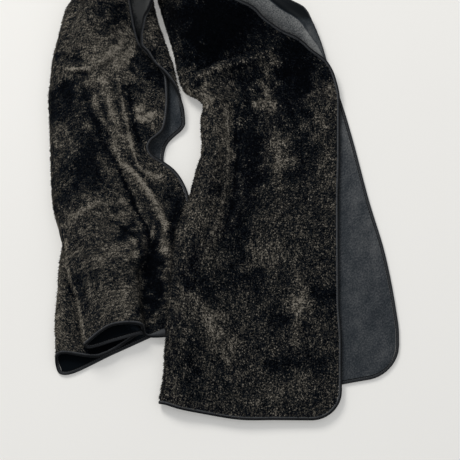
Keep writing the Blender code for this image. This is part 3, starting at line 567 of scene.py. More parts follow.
def spline(points, cells):
    """Carry a smooth curve through the points of each row, with the given cells between each two points.

    Each span is a cubic whose end slopes weigh the two neighbouring chords by the roots of their lengths.
    """
    chord = np.diff(points, axis=1)
    pace = np.sqrt(np.linalg.norm(chord, axis=2, keepdims=True)) + SMALLEST_PACE
    rate = chord / pace
    inner = (rate[:, 1:] * pace[:, :-1] + rate[:, :-1] * pace[:, 1:]) / (pace[:, 1:] + pace[:, :-1])
    tangent = np.concatenate([rate[:, :1], inner, rate[:, -1:]], axis=1)
    parts = []
    for span, count in enumerate(cells):
        share = (np.arange(count) / count)[None, :, None]
        start, end = points[:, span, None], points[:, span + 1, None]
        swing = tangent[:, span, None] * (1 - share) - tangent[:, span + 1, None] * share
        parts.append(
            start * (1 + 2 * share) * (1 - share) ** 2
            + end * share**2 * (3 - 2 * share)
            + pace[:, span, None] * share * (1 - share) * swing
        )
    parts.append(points[:, -1:])
    return np.concatenate(parts, axis=1)


def distance_to_path(across, down, path):
    """How far each point lies from a path, and its share of the way along the path.

    The distance is negative on the left of a path that runs down and below one that runs to the right.
    """
    path = np.array(path, float)
    lengths = np.linalg.norm(np.diff(path, axis=0), axis=1)
    travelled = travelled_along(path)
    nearest = np.full(across.shape, np.inf)
    along = np.zeros(across.shape)
    for start, end, length, before in zip(path[:-1], path[1:], lengths, travelled):
        step = (end - start) / length
        right, low = across - start[0], down - start[1]
        reach = np.clip(right * step[0] + low * step[1], 0.0, length)
        gap = np.hypot(right - reach * step[0], low - reach * step[1])
        gap = np.where(right * step[1] - low * step[0] < 0.0, -gap, gap)
        closer = np.abs(gap) < np.abs(nearest)
        nearest = np.where(closer, gap, nearest)
        along = np.where(closer, (before + reach) / travelled[-1], along)
    return nearest, along


def press_creases(net, creases, top_layer):
    """Raise soft ridges and press soft troughs in the net, and return the light and shade painted along
    them.

    Height is a bell across each path that fades towards its ends. The painted shading is a narrow bell less
    a wide
    one: a painted highlight on a ridge's crest with painted shade on its flanks, the other way round in a
    trough.
    """
    tone = np.zeros(net.shape[:2])
    for height, first_width, second_width, strength, path in creases:
        gap, along = distance_to_path(net[..., 1], net[..., 0], path)
        share = np.abs(gap) / np.where(gap < 0.0, first_width, second_width)
        fade = np.sin(np.pi * (CREASE_ENDS[0] + CREASE_ENDS[1] * along)) ** CREASE_FADE * top_layer
        net[..., 2] += height * np.exp(-(share**CREASE_SHARPNESS)) * fade
        for weight, narrowing in (CREST_PAINTED_SHADING, FLANK_PAINTED_SHADING):
            tone += strength * weight * np.exp(-((share * narrowing) ** 2)) * fade
    return tone


def waves(across, along, size, seed):
    """A smooth uneven field of unit spread: plane waves of about one size, turned and shifted by chance."""
    draw = np.random.default_rng(seed)
    field = np.zeros(across.shape)
    turns, phases = draw.uniform(0, np.pi, WAVE_COUNT), draw.uniform(0, 2 * np.pi, WAVE_COUNT)
    for turn, phase, stretch in zip(turns, phases, draw.uniform(*WAVE_STRETCH, WAVE_COUNT)):
        travel = across * np.cos(turn) + along * np.sin(turn)
        field += np.sin(travel * 2 * np.pi * stretch / size + phase)
    return field / math.sqrt(WAVE_COUNT / 2)


def painted_band_tones(order, downs, painted_bands):
    """Add up the painted light and shade of each band at each point: even between a band's lines, fading
    beyond its ends down the arm.
    """
    tone = np.zeros((len(downs), len(order)))
    for first_line, last_line, first_down, last_down, strength in painted_bands:
        inside = (order >= first_line) & (order <= last_line)
        entered = smoothstep(downs, first_down - BAND_FADE, first_down)
        left = smoothstep(downs, last_down, last_down + BAND_FADE)
        tone += strength * np.outer(entered * (1 - left), inside)
    return tone


def patch_tones(net, patches, warps, seed):
    """Add up the patches at each point: a flat-topped oval round each place, its rim pulled by waves."""
    down, across = net[..., 0], net[..., 1]
    pulled_across, pulled_down = across.copy(), down.copy()
    for turn, (pull, size) in enumerate(warps):
        pulled_across += pull * waves(across, down, size, seed + turn)
        pulled_down += pull * waves(across, down, size, seed + turn + len(warps))
    tone = np.zeros(across.shape)
    for patch_across, patch_down, reach_across, reach_down, strength in patches:
        share_across = (pulled_across - patch_across) / reach_across
        share_down = (pulled_down - patch_down) / reach_down
        tone += strength * np.exp(-((share_across**2 + share_down**2) ** PATCH_FLATNESS))
    return tone


def neck_rows(first_row, next_row, shares, side):
    """Carry each column from an arm's first row over to the middle of the neck.

    A column is a cubic that leaves the arm along its own line and arrives square to the middle section.
    """
    travelled = travelled_along(first_row)
    section = np.array(NECK_SECTION, float)
    section_travelled = travelled_along(section)
    at = travelled / travelled[-1] * section_travelled[-1]
    outward = follow(np.column_stack([section_travelled, section]), at)
    corner = place(np.array(NECK_ACROSS), np.array(NECK_DOWN), np.array(0.0))
    seam = np.full(len(at), corner[0] + side * NECK_SEAM)
    middle = np.column_stack([seam, corner[1] + outward[:, 0], outward[:, 1]])
    leaving = unit(first_row - next_row)
    chord = np.linalg.norm(middle - first_row, axis=1, keepdims=True) * NECK_SWING
    arriving = np.array([-side, 0.0, 0.0])
    share = np.asarray(shares, float)[:, None, None]
    return (
        middle * (1 + 2 * share) * (1 - share) ** 2
        + first_row * share**2 * (3 - 2 * share)
        + share * (1 - share) * ((1 - share) * -arriving * chord + share * leaving * chord)
    )


def neck_tones(tones, neck_shares):
    """Put the neck's tones above those of the arm, fading from the arm's first row to the neck's middle."""
    return np.concatenate([np.repeat(tones[:1], NECK_GRID_ROWS, axis=0) * neck_shares[:, None] ** 2, tones])


def ripple(grid, order, downs, ripples, side):
    """Ripple the hidden stretches of cloth along their normals, and return how deep the ripples are.

    They are waves that run down the cloth and die out at the ends of a stretch and beside its outer lines.
    """
    lines, places = np.meshgrid(order, downs)
    depth = np.zeros(lines.shape)
    for first_line, last_line, first_down, last_down, height in ripples:
        share = np.clip((places - first_down) / (last_down - first_down), 0.0, 1.0)
        entered = smoothstep(lines, first_line, first_line + 1)
        left = smoothstep(lines, last_line - 1, last_line)
        field = waves(lines * RIPPLE_STRETCH, share, 1.0, RIPPLE_SEED + side)
        depth += height * entered * (1 - left) * np.sin(np.pi * share) ** 2 * field
    grid += surface_normals(grid, side) * depth[..., None]
    return depth


def arm(half):
    """One half of the cloth: its grid, tones and places, and the rows and columns that the pieces use.

    The creases fade in and out between the four lines numbered in top_lines, and the cloth between the two
    lines numbered in upper_lines lies on another layer, so it comes no lower than that layer lets it.
    """
    side, cells = half["side"], half["cells"]
    dense_down = np.arange(0.0, SHARED_DOWN, DENSE_ROW)
    at_down = np.concatenate([dense_down, np.full(HEM_GRID_ROWS, SHARED_DOWN)])
    at_share = np.concatenate([np.zeros(len(dense_down)), np.linspace(0.0, 1.0, HEM_GRID_ROWS)])
    net = np.stack(half["sections"](at_down, at_share), axis=1)
    columns = spline(net, [DENSE_STEPS] * (net.shape[1] - 1))
    order = np.arange(columns.shape[1]) / DENSE_STEPS
    top_lines, upper_lines = half["top_lines"], half["upper_lines"]
    top_layer = smoothstep(order, *top_lines[:2]) * (1 - smoothstep(order, *top_lines[2:]))
    # Painted light and shade along the creases: lighter crests and darker flanks
    crease_painted_shading = press_creases(columns, half["creases"], top_layer[None, :])
    lies_on_layer = (order >= upper_lines[0]) & (order <= upper_lines[1])
    columns[..., 2] = np.maximum(columns[..., 2], np.where(lies_on_layer, SECOND_HEIGHT, FLOOR_HEIGHT))
    flat = place(columns[..., 1], columns[..., 0], columns[..., 2])
    neck_shares = np.linspace(0.0, 1.0, NECK_GRID_ROWS, endpoint=False)
    grid = np.concatenate([neck_rows(flat[0], flat[2], neck_shares, side), flat])
    arm_downs = at_down + at_share * (columns[-1, 0, 0] - SHARED_DOWN)
    downs = np.concatenate([NECK_START * (1.0 - neck_shares), arm_downs])
    # Painted light and shade that follows the depth of the ripples
    ripple_painted_shading = RIPPLE_PAINTED_SHADING * ripple(grid, order, downs, half["ripples"], side)
    # The pile's tone: its own mottling, with painted light and shade from the creases, patches and bands
    tones = crease_painted_shading + patch_tones(columns, half["patches"], PILE_WARPS, PATCH_SEED + side)
    tones += painted_band_tones(order, arm_downs, half["painted_bands"])
    # The lining's tone is painted light and shade alone
    lining_painted_shading = patch_tones(columns, half["lining_painted_spots"], LINING_WARPS, LINING_PATCH_SEED + side)
    lining_painted_shading += painted_band_tones(order, arm_downs, half["lining_painted_bands"])
    spans = [span + np.arange(number) / number for span, number in enumerate(cells)]
    spans[0] = spans[0] ** EDGE_CROWDING
    spans[-1] = len(cells) - (np.arange(cells[-1], 0, -1) / cells[-1]) ** EDGE_CROWDING
    picks = np.append(np.concatenate(spans), len(cells)) * DENSE_STEPS
    return {
        "grid": grid,
        "tones": neck_tones(tones, neck_shares) + ripple_painted_shading,
        "lining_painted_shading": neck_tones(lining_painted_shading, neck_shares),
        "downs": downs,
        "rows": np.arange(len(downs), dtype=float),
        "columns": picks,
        "side": side,
        "shared_row": NECK_GRID_ROWS + len(dense_down),
    }


def surface_normals(grid, side):
    """Unit normals on the pile side, from the cross product of the steps across and along the cloth.

    Those of the first row stay in the plane where the two halves meet.
    """
    across = np.gradient(grid, axis=1)
    along = np.gradient(grid, axis=0)
    normal = np.cross(across, along) * -side
    normal[0, :, 0] = 0.0
    return unit(normal)


def sample(grid, rows, columns):
    """Read a grid between its points, by the four nearest ones."""
    low_row = np.clip(rows.astype(int), 0, grid.shape[0] - 2)
    low_column = np.clip(columns.astype(int), 0, grid.shape[1] - 2)
    extra = (1,) * (grid.ndim - 2)
    row_share = (rows - low_row).reshape(rows.shape + extra)
    column_share = (columns - low_column).reshape(rows.shape + extra)
    upper = between(grid[low_row, low_column], grid[low_row, low_column + 1], column_share)
    lower = between(grid[low_row + 1, low_column], grid[low_row + 1, low_column + 1], column_share)
    return between(upper, lower, row_share)


def steps_in(grid, inset, reach):
    """For each row of the grid, how many steps in it is an inset away from the line of the first points.

    No more than reach steps are looked at.
    """
    side = grid[:, 0]
    near = grid[:, : reach + 1]
    step = np.diff(side, axis=0)
    offset = near[:, :, None] - side[:-1]
    along = np.clip((offset * step).sum(axis=3) / (step**2).sum(axis=1), 0.0, 1.0)
    gap = np.linalg.norm(offset - along[..., None] * step, axis=3).min(axis=2)
    gap = np.maximum.accumulate(gap, axis=1)
    return np.array([np.interp(inset, row, np.arange(near.shape[1])) for row in gap])


def cut_out(cloth, inset):
    """Rows and columns of the grid for the cloth with its free sides and corners set in by the inset.

    Only the EDGE_SPANS spans next to a side and the rows below the shared ones move with the inset.
    """
    grid = cloth["grid"]
    last_row, last_column = grid.shape[0] - 1, grid.shape[1] - 1
    hem_width = travelled_along(grid[-1])
    reach = EDGE_SPANS * DENSE_STEPS
    start = steps_in(grid, inset, reach)
    end = last_column - steps_in(grid[:, ::-1], inset, reach)
    hem_steps = steps_in(grid[::-1].transpose(1, 0, 2), inset, EDGE_ROWS)
    count = np.arange(last_column + 1)
    near_start = np.clip(1.0 - cloth["columns"] / reach, 0.0, 1.0)
    near_end = np.clip(1.0 - (last_column - cloth["columns"]) / reach, 0.0, 1.0)
    radius = max(CORNER_RADIUS - inset, SMALLEST_RADIUS)
    shared = cloth["shared_row"]
    rows = np.empty((len(cloth["rows"]), len(cloth["columns"])))
    columns = np.empty_like(rows)
    for index, column in enumerate(cloth["columns"]):
        at = column + start * near_start[index] - (last_column - end) * near_end[index]
        across = sample(grid, np.arange(last_row + 1.0), at)
        length = travelled_along(across[::-1])[::-1]
        along_hem = np.interp(at[-1], count, hem_width)
        depth = min(along_hem, hem_width[-1] - along_hem) - inset
        cut = min(max(radius - depth, 0.0), radius)
        drop = radius - math.sqrt(radius**2 - cut**2)
        hem = np.interp(last_row - np.interp(at[-1], count, hem_steps), np.arange(last_row + 1), length)
        hem = np.interp(-hem - drop, -length, np.arange(last_row + 1))
        scaled = shared + (cloth["rows"] - shared) * (hem - shared) / (last_row - shared)
        rows[:, index] = np.where(cloth["rows"] > shared, scaled, cloth["rows"])
        columns[:, index] = np.interp(rows[:, index], np.arange(last_row + 1), at)
    return rows, columns


def panel(cloth, inset):
    """The cloth's points, pile-side normals, tones and cloth coordinates, set in from its free edge."""
    rows, columns = cut_out(cloth, inset)
    grid = cloth["grid"]
    middle = grid.shape[1] // 2
    across = np.cumsum(np.linalg.norm(np.diff(grid, axis=1, prepend=grid[:, :1]), axis=2), axis=1)
    along = np.cumsum(np.linalg.norm(np.diff(grid[::-1], axis=0, prepend=grid[-1:]), axis=2), axis=0)[::-1]
    coordinates = np.stack([across - across[:, middle : middle + 1], along], axis=-1)
    return {
        "points": sample(grid, rows, columns),
        "normals": unit(sample(surface_normals(grid, cloth["side"]), rows, columns)),
        "tones": sample(cloth["tones"], rows, columns),
        "lining_painted_shading": sample(cloth["lining_painted_shading"], rows, columns),
        "coordinates": sample(coordinates, rows, columns),
        "order": columns / DENSE_STEPS,
        "downs": np.interp(rows, np.arange(len(cloth["downs"])), cloth["downs"]),
    }


def nap_mask(cut, areas):
    """1 where locks of pile stand: inside one of the areas and clear of the surface below."""
    shown = np.zeros(cut["order"].shape, bool)
    for first_line, last_line, first_down, last_down in areas:
        between_lines = (cut["order"] >= first_line) & (cut["order"] <= last_line)
        shown |= between_lines & (cut["downs"] >= first_down) & (cut["downs"] <= last_down)
    outside = cut["points"][..., 2] + cut["normals"][..., 2] * PILE_OUTER
    return (shown & (outside > LOCK_CLEAR)).astype(float)


def wall(points, normals, inner, outer):
    """A closed wall between two distances from the cloth's middle, as corners and four-sided faces."""
    height, width = points.shape[:2]
    inner, outer = np.broadcast_to(inner, (height, width)), np.broadcast_to(outer, (height, width))
    sides = [(points + normals * distance[..., None]).reshape(-1, 3) for distance in (inner, outer)]
    corners = np.concatenate(sides)
    corners[:, 2] = np.maximum(corners[:, 2], 0.0)
    index = np.arange(height * width).reshape(height, width)
    lower = grid_faces(index)
    upper = lower[:, ::-1] + height * width
    loop = np.concatenate([index[0, :-1], index[:-1, -1], index[-1, :0:-1], index[:0:-1, 0]])
    after = np.roll(loop, -1)
    rim = np.stack([loop, loop + height * width, after + height * width, after], -1)
    return corners, np.concatenate([lower, upper, rim])


def edge_rail(cut):
    """Points and normals down one free side, round the hem and up the other."""
    rails = []
    for name in ("points", "normals"):
        values = cut[name]
        rails.append(np.concatenate([values[:-1, 0], values[-1, :-1], values[::-1, -1]]))
    return rails


def edge_frame(cloth):
    """The free edge's outer, middle and inner rails, from which all other insets are read."""
    rails = [edge_rail(panel(cloth, inset)) for inset in (0.0, BINDING_WIDTH / 2, BINDING_WIDTH)]
    return np.array([points for points, normals in rails]), np.array([normals for points, normals in rails])


def at_inset(rails, inset):
    """Read the three rails at any inset by the parabola through them."""
    share = inset / BINDING_WIDTH
    weights = ((1 - share) * (1 - 2 * share), 4 * share * (1 - share), share * (2 * share - 1))
    return sum(weight * rail for weight, rail in zip(weights, rails))


def binding_tape(rails, rail_normals):
    """The rolled binding: a flattened round carried along the free edge, drawn in a little at intervals.

    The round is cos and sin of an angle, each raised to a power under one, which gives it fuller shoulders.
    """
    travelled = travelled_along(rails[0])
    pucker = 1.0 - PUCKER_DEPTH * (0.5 - 0.5 * np.cos(2 * np.pi * travelled / PUCKER_LENGTH))
    centre = (BINDING_TOP + BINDING_BOTTOM) / 2
    half_height = (BINDING_TOP - BINDING_BOTTOM) / 2
    rings = []
    for angle in np.arange(BINDING_POINTS) * 2 * np.pi / BINDING_POINTS:
        wide = np.sign(np.cos(angle)) * abs(np.cos(angle)) ** BINDING_SHOULDER
        high = np.sign(np.sin(angle)) * abs(np.sin(angle)) ** BINDING_SHOULDER
        inset = BINDING_WIDTH / 2 * (1.0 + wide)
        points, normals = at_inset(rails, inset), at_inset(rail_normals, inset)
        rings.append(points + normals * (centre + half_height * high * pucker[:, None]))
    rings = np.stack(rings, axis=1)
    rings[..., 2] = np.maximum(rings[..., 2], 0.0)
    count, around = rings.shape[:2]
    index = np.arange(count * around).reshape(count, around)
    a, b = index[:-1], index[1:]
    faces = np.stack([a, b, np.roll(b, -1, axis=1), np.roll(a, -1, axis=1)], -1).reshape(-1, 4)
    first, last = index[0], index[-1]
    caps = []
    for k in range(around // 2 - 1):
        caps.append((first[k], first[k + 1], first[-2 - k], first[-1 - k]))
        caps.append((last[-1 - k], last[-2 - k], last[k + 1], last[k]))
    coordinates = np.stack([
        np.broadcast_to(np.arange(around) * BINDING_WIDTH * 2 / around, (count, around)),
        np.broadcast_to(travelled[:, None], (count, around)),
    ], axis=-1)
    # Painted light and shade round the binding's section
    shades = {"shade": np.tile(BINDING_PAINTED_SHADING, count)}
    return rings.reshape(-1, 3), np.concatenate([faces, caps]), coordinates.reshape(-1, 2), shades


def stitches(rails, rail_normals):
    """Stitches on both faces of the binding: eight-sided grains with pointed ends, one pitch apart.

    Each grain is a middle ring of four points and two ends on the line that runs at STITCH_INSET.
    """
    corners, faces = [], []
    points, normals = at_inset(rails, STITCH_INSET), at_inset(rail_normals, STITCH_INSET)
    inner = at_inset(rails, BINDING_WIDTH)
    travelled = travelled_along(points)
    starts = np.arange(STITCH_PITCH, travelled[-1] - 2 * STITCH_PITCH, STITCH_PITCH)

    def at(values, distance):
        """Read the values of the line at distances along it."""
        return np.stack([np.interp(distance, travelled, values[:, axis]) for axis in range(3)], axis=-1)

    for face_height in (BINDING_TOP - STITCH_SUNK, BINDING_BOTTOM + STITCH_SUNK):
        outward = 1.0 if face_height > 0 else -1.0
        raised = points + normals * face_height
        head, tail = at(raised, starts), at(raised, starts + STITCH_LENGTH)
        middle = (head + tail) / 2
        up = at(normals, starts + STITCH_LENGTH / 2) * outward
        aside = unit(at(inner - points, starts))
        ring = [
            middle + aside * STITCH_WIDTH / 2,
            middle + up * STITCH_HEIGHT,
            middle - aside * STITCH_WIDTH / 2,
            middle - up * STITCH_HEIGHT / 2,
        ]
        grain = np.stack([head, *ring, tail], axis=1)
        grain[..., 2] = np.maximum(grain[..., 2], 0.0)
        pattern = []
        for k in range(4):
            following = (k + 1) % 4
            pattern += [(0, 1 + following, 1 + k), (5, 1 + k, 1 + following)]
        turned = np.array(pattern) if outward > 0 else np.array(pattern)[:, ::-1]
        first = sum(len(block) for block in corners) + np.arange(len(grain)) * grain.shape[1]
        corners.append(grain.reshape(-1, 3))
        faces.append((turned[None] + first[:, None, None]).reshape(-1, 3))
    return np.concatenate(corners), np.concatenate(faces)


def locks(cut, outer, mask, count, seed):
    """Locks of crushed pile: closed three-sided spikes spread evenly over the masked cloth.

    A spike's foot is a triangle sunk in the cloth and its tip leans along the cloth. The lean swings with a
    slow field, and spikes lie flatter where the patch is light and stand up where it is dark.
    """
    draw = np.random.default_rng(seed)
    points = cut["points"] + cut["normals"] * outer[..., None]
    shown = mask[1:, 1:] * mask[:-1, :-1] * mask[1:, :-1] * mask[:-1, 1:]
    edges = np.cumsum(cell_areas(points) * shown)
    at = (np.arange(count) + draw.random(count)) / count * edges[-1]
    cell = np.minimum(np.searchsorted(edges, at), edges.size - 1)
    row, column = np.divmod(cell, shown.shape[1])
    rows, columns = row + draw.random(count), column + draw.random(count)
    root = sample(points, rows, columns)
    normal = sample(cut["normals"], rows, columns)
    along = unit(sample(np.gradient(points, axis=0), rows, columns))
    aside = np.cross(normal, along)
    tone = sample(cut["tones"], rows, columns)
    coordinates = sample(cut["coordinates"], rows, columns)
    slow_swing, swing_size, own_swing = LOCK_SWING
    swing = slow_swing * waves(coordinates[:, 0], coordinates[:, 1], swing_size, seed + 1)
    swing += draw.normal(0.0, own_swing, count)
    lean = along * np.cos(swing)[:, None] + aside * np.sin(swing)[:, None]
    cross_lean = np.cross(normal, lean)
    upright = smoothstep(-tone, *LOCK_UPRIGHT)
    length = draw.uniform(*LOCK_LENGTH, count) * (1.0 - LOCK_SHORTER * upright)
    width = draw.uniform(*LOCK_WIDTH, count)
    rise = draw.uniform(*LOCK_RISE, count)
    corners = np.empty((count, 4, 3))
    spots = np.empty((count, 4, 2))
    for corner, angle in enumerate((0.0, 2 * np.pi / 3, 4 * np.pi / 3)):
        reach_along, reach_across = np.cos(angle) * width, np.sin(angle) * width
        corners[:, corner] = root + lean * reach_along[:, None] + cross_lean * reach_across[:, None]
        corners[:, corner] -= normal * LOCK_SUNK
        spots[:, corner] = coordinates + np.stack([reach_across, -reach_along], axis=-1)
    corners[:, 3] = root + lean * length[:, None] + normal * rise[:, None]
    spots[:, 3] = coordinates + np.stack([np.sin(swing) * length, -np.cos(swing) * length], axis=-1)
    corners[..., 2] = np.maximum(corners[..., 2], LOCK_FLOOR)
    pattern = np.array([(2, 1, 0), (0, 1, 3), (1, 2, 3), (2, 0, 3)])
    faces = (pattern[None] + (np.arange(count) * 4)[:, None, None]).reshape(-1, 3)
    grain = np.repeat(draw.uniform(-1.0, 1.0, count), 4)
    # Tips get height 1 and feet 0, and the pile finish makes the tips lighter: a painted highlight on the
    # lock tips
    height = np.tile((0.0, 0.0, 0.0, 1.0), count)
    values = {"tone": np.repeat(tone, 4), "grain": grain, "height": height}
    return corners.reshape(-1, 3), faces, spots.reshape(-1, 2), values


def volume(corners, faces):
    """Signed volume of a closed mesh: the sum of the pyramids from the origin to the face triangles."""
    total = 0.0
    for second in range(1, faces.shape[1] - 1):
        a, b, c = (corners[faces[:, k]] for k in (0, second, second + 1))
        total += np.einsum("ij,ij->i", a, np.cross(b, c)).sum() / 6
    return total


def add_piece(name, corners, faces, material, coordinates=None, values=None, smooth=True):
    """Put one piece into the scene from arrays in millimetres, with its faces pointing outwards."""
    if volume(corners, faces) < 0:
        faces = faces[:, ::-1]
    mesh = bpy.data.meshes.new(name)
    mesh.vertices.add(len(corners))
    mesh.vertices.foreach_set("co", ((corners + SHIFT) * MM).astype(np.float32).ravel())
    sides = faces.shape[1]
    mesh.loops.add(faces.size)
    mesh.loops.foreach_set("vertex_index", np.ascontiguousarray(faces, np.int32).ravel())
    mesh.polygons.add(len(faces))
    mesh.polygons.foreach_set("loop_start", np.arange(0, faces.size, sides, dtype=np.int32))
    mesh.update(calc_edges=True)
    if coordinates is not None:
        layer = mesh.uv_layers.new(name="cloth")
        layer.data.foreach_set("uv", (coordinates[faces.ravel()] * MM).astype(np.float32).ravel())
    for label, numbers in (values or {}).items():
        attribute = mesh.attributes.new(label, "FLOAT", "POINT")
        attribute.data.foreach_set("value", np.asarray(numbers, np.float32))
    mesh.materials.append(material)
    if smooth:
        mesh.shade_smooth()
        mesh.set_sharp_from_angle(angle=SHARP_EDGE)
    else:
        mesh.shade_flat()
    piece = bpy.data.objects.new(name, mesh)
    bpy.context.scene.collection.objects.link(piece)
    return piece


class Finish:
    """A material's node tree, with short calls to add and join nodes."""

    def __init__(self, name, roughness, sheen, sheen_roughness, sheen_tint, specular):
        self.material = bpy.data.materials.new(name)
        self.material.use_nodes = True
        self.tree = self.material.node_tree
        self.shader = self.tree.nodes["Principled BSDF"]
        self.shader.inputs["Roughness"].default_value = roughness
        self.shader.inputs["Sheen Weight"].default_value = sheen
        self.shader.inputs["Sheen Roughness"].default_value = sheen_roughness
        self.shader.inputs["Sheen Tint"].default_value = (*sheen_tint, 1.0)
        self.shader.inputs["Specular IOR Level"].default_value = specular

    def add(self, kind, inputs=None, **settings):
        """Add a node, set its properties, and set or join its inputs."""
        node = self.tree.nodes.new(kind)
        for label, value in settings.items():
            setattr(node, label, value)
        for label, value in (inputs or {}).items():
            if isinstance(value, bpy.types.NodeSocket):
                self.tree.links.new(value, node.inputs[label])
            else:
                node.inputs[label].default_value = value
        return node

    def math(self, operation, first, second):
        """Join two values by one operation."""
        return self.add("ShaderNodeMath", {0: first, 1: second}, operation=operation).outputs[0]

    def cloth_noise(self, across_size, along_size, detail, roughness=0.5):
        """Noise round zero in the cloth's own coordinates, its grains of the given sizes in millimetres."""
        spot = self.add("ShaderNodeUVMap", uv_map="cloth").outputs["UV"]
        scale = (1 / (across_size * MM), 1 / (along_size * MM), 1.0)
        scaled = self.add("ShaderNodeMapping", {"Vector": spot, "Scale": scale}).outputs["Vector"]
        inputs = {"Vector": scaled, "Scale": 1.0, "Detail": detail, "Roughness": roughness}
        noise = self.add("ShaderNodeTexNoise", inputs)
        return self.math("SUBTRACT", noise.outputs["Fac"], 0.5)

    def object_noise(self, scale, detail):
        """Noise in the piece's object coordinates."""
        spot = self.add("ShaderNodeTexCoord").outputs["Object"]
        inputs = {"Vector": spot, "Scale": scale, "Detail": detail}
        return self.add("ShaderNodeTexNoise", inputs).outputs["Fac"]

    def value(self, label):
        """A number that each point of the piece carries."""
        return self.add("ShaderNodeAttribute", attribute_name=label).outputs["Fac"]

    def ramp(self, position, stops):
        """A colour ramp with (position, colour) stops."""
        node = self.add("ShaderNodeValToRGB", {"Fac": position})
        elements = node.color_ramp.elements
        for index, (place_on_ramp, colour) in enumerate(stops):
            element = elements[index] if index < 2 else elements.new(place_on_ramp)
            element.position = place_on_ramp
            element.color = (*colour, 1.0)
        return node.outputs["Color"]

    def weighed(self, start, *terms):
        """A start value with each (value, weight) pair added."""
        total = start
        for value, weight in terms:
            total = self.math("ADD", self.math("MULTIPLY", value, weight), total)
        return total

    def bump(self, height, strength, distance_mm):
        """Relief from a height value."""
        inputs = {"Height": height, "Strength": strength, "Distance": distance_mm * MM}
        normal = self.add("ShaderNodeBump", inputs).outputs["Normal"]
        self.tree.links.new(normal, self.shader.inputs["Normal"])

    def colour(self, socket):
        """Join the base colour."""
        self.tree.links.new(socket, self.shader.inputs["Base Color"])


# Colour ramps, as (position, colour) rows with the two ends first
PILE_STOPS = (
    (0.0, (0.0007, 0.0011, 0.0020)),
    (1.0, (0.270, 0.244, 0.203)),
    (0.22, (0.0018, 0.0030, 0.0056)),
    (0.42, (0.0080, 0.0102, 0.0128)),
    (0.62, (0.037, 0.0345, 0.029)),
    (0.80, (0.120, 0.107, 0.087)),
)
# The lining's ramp reaches down to painted shade and up to painted highlights, with its own charcoal in the
# middle
LINING_STOPS = (
    (0.0, (0.0015, 0.0028, 0.0042)),
    (1.0, (0.260, 0.262, 0.255)),
    (0.25, (0.011, 0.0150, 0.0190)),
    (0.5, (0.035, 0.040, 0.0455)),
    (0.75, (0.092, 0.096, 0.099)),
)
# The tape's ramp, from the black of its painted shade to the grey of its painted highlight
BINDING_STOPS = (
    (0.0, (0.0028, 0.0034, 0.0042)),
    (1.0, (0.060, 0.063, 0.067)),
    (0.5, (0.026, 0.028, 0.031)),
)
THREAD_STOPS = ((0.3, (0.05, 0.053, 0.057)), (0.7, (0.10, 0.103, 0.108)))
STAGE_STOPS = ((0.3, (0.70, 0.687, 0.656)), (0.7, (0.71, 0.697, 0.666)))


def pile_finish():
    """Crushed pile: grains of navy black and brown grey, in streaks along the cloth and larger patches, with
    painted light and shade from its tone attribute and a painted highlight on the lock tips.
    """
    finish = Finish(
        "crushed_pile", roughness=0.9, sheen=0.03, sheen_roughness=0.4,
        sheen_tint=(0.72, 0.68, 0.62), specular=0.03,
    )
    patch = finish.cloth_noise(across_size=16.0, along_size=26.0, detail=4.0, roughness=0.7)
    clump = finish.cloth_noise(across_size=4.5, along_size=7.5, detail=2.0, roughness=0.6)
    streak = finish.cloth_noise(across_size=2.4, along_size=15.0, detail=2.0)
    fine = finish.cloth_noise(across_size=1.7, along_size=2.2, detail=2.0, roughness=0.6)
    tone, grain, height = (finish.value(label) for label in ("tone", "grain", "height"))
    # Tone brings the pile's mottling with its painted light and shade, and height paints a highlight on the
    # lock tips
    position = finish.weighed(
        0.385,
        (patch, 0.6), (clump, 0.8), (streak, 0.6), (fine, 2.0), (tone, 0.31), (grain, 0.24), (height, 0.12),
    )
    finish.colour(finish.ramp(position, PILE_STOPS))
    finish.bump(fine, strength=0.7, distance_mm=0.6)
    return finish.material


def lining_finish():
    """Brushed charcoal lining: low clouds of darker and lighter colour, short fibres and a soft bloom, with
    painted light and shade from its tone attribute.
    """
    finish = Finish(
        "brushed_lining", roughness=0.9, sheen=0.04, sheen_roughness=0.5,
        sheen_tint=(0.8, 0.84, 0.9), specular=0.04,
    )
    cloud = finish.cloth_noise(across_size=14.0, along_size=22.0, detail=3.0, roughness=0.6)
    fibre = finish.cloth_noise(across_size=1.8, along_size=2.2, detail=2.0, roughness=0.6)
    position = finish.weighed(0.5, (cloud, 0.4), (fibre, 0.75), (finish.value("tone"), 0.25))
    finish.colour(finish.ramp(position, LINING_STOPS))
    finish.bump(finish.weighed(0.0, (fibre, 0.9), (cloud, 0.8)), strength=0.5, distance_mm=0.4)
    return finish.material


def binding_finish():
    """Woven tape with fine ribs across it. Its painted shading makes it grey with a painted highlight on its
    inner roll and black with painted shade on its outer roll.
    """
    finish = Finish(
        "binding_tape", roughness=0.75, sheen=0.05, sheen_roughness=0.4,
        sheen_tint=(0.8, 0.84, 0.9), specular=0.12,
    )
    rib = finish.cloth_noise(across_size=3.0, along_size=0.7, detail=1.0)
    wear = finish.cloth_noise(across_size=4.0, along_size=18.0, detail=2.0)
    position = finish.weighed(0.0, (rib, 0.3), (wear, 0.4), (finish.value("shade"), 1.0))
    finish.colour(finish.ramp(position, BINDING_STOPS))
    finish.bump(rib, strength=0.5, distance_mm=0.25)
    return finish.material


def thread_finish():
    """Grey sewing thread, a little lighter on some stitches."""
    finish = Finish(
        "seam_thread", roughness=0.55, sheen=0.1, sheen_roughness=0.4,
        sheen_tint=(0.9, 0.9, 0.9), specular=0.2,
    )
    finish.colour(finish.ramp(finish.object_noise(scale=260.0, detail=1.0), THREAD_STOPS))
    return finish.material


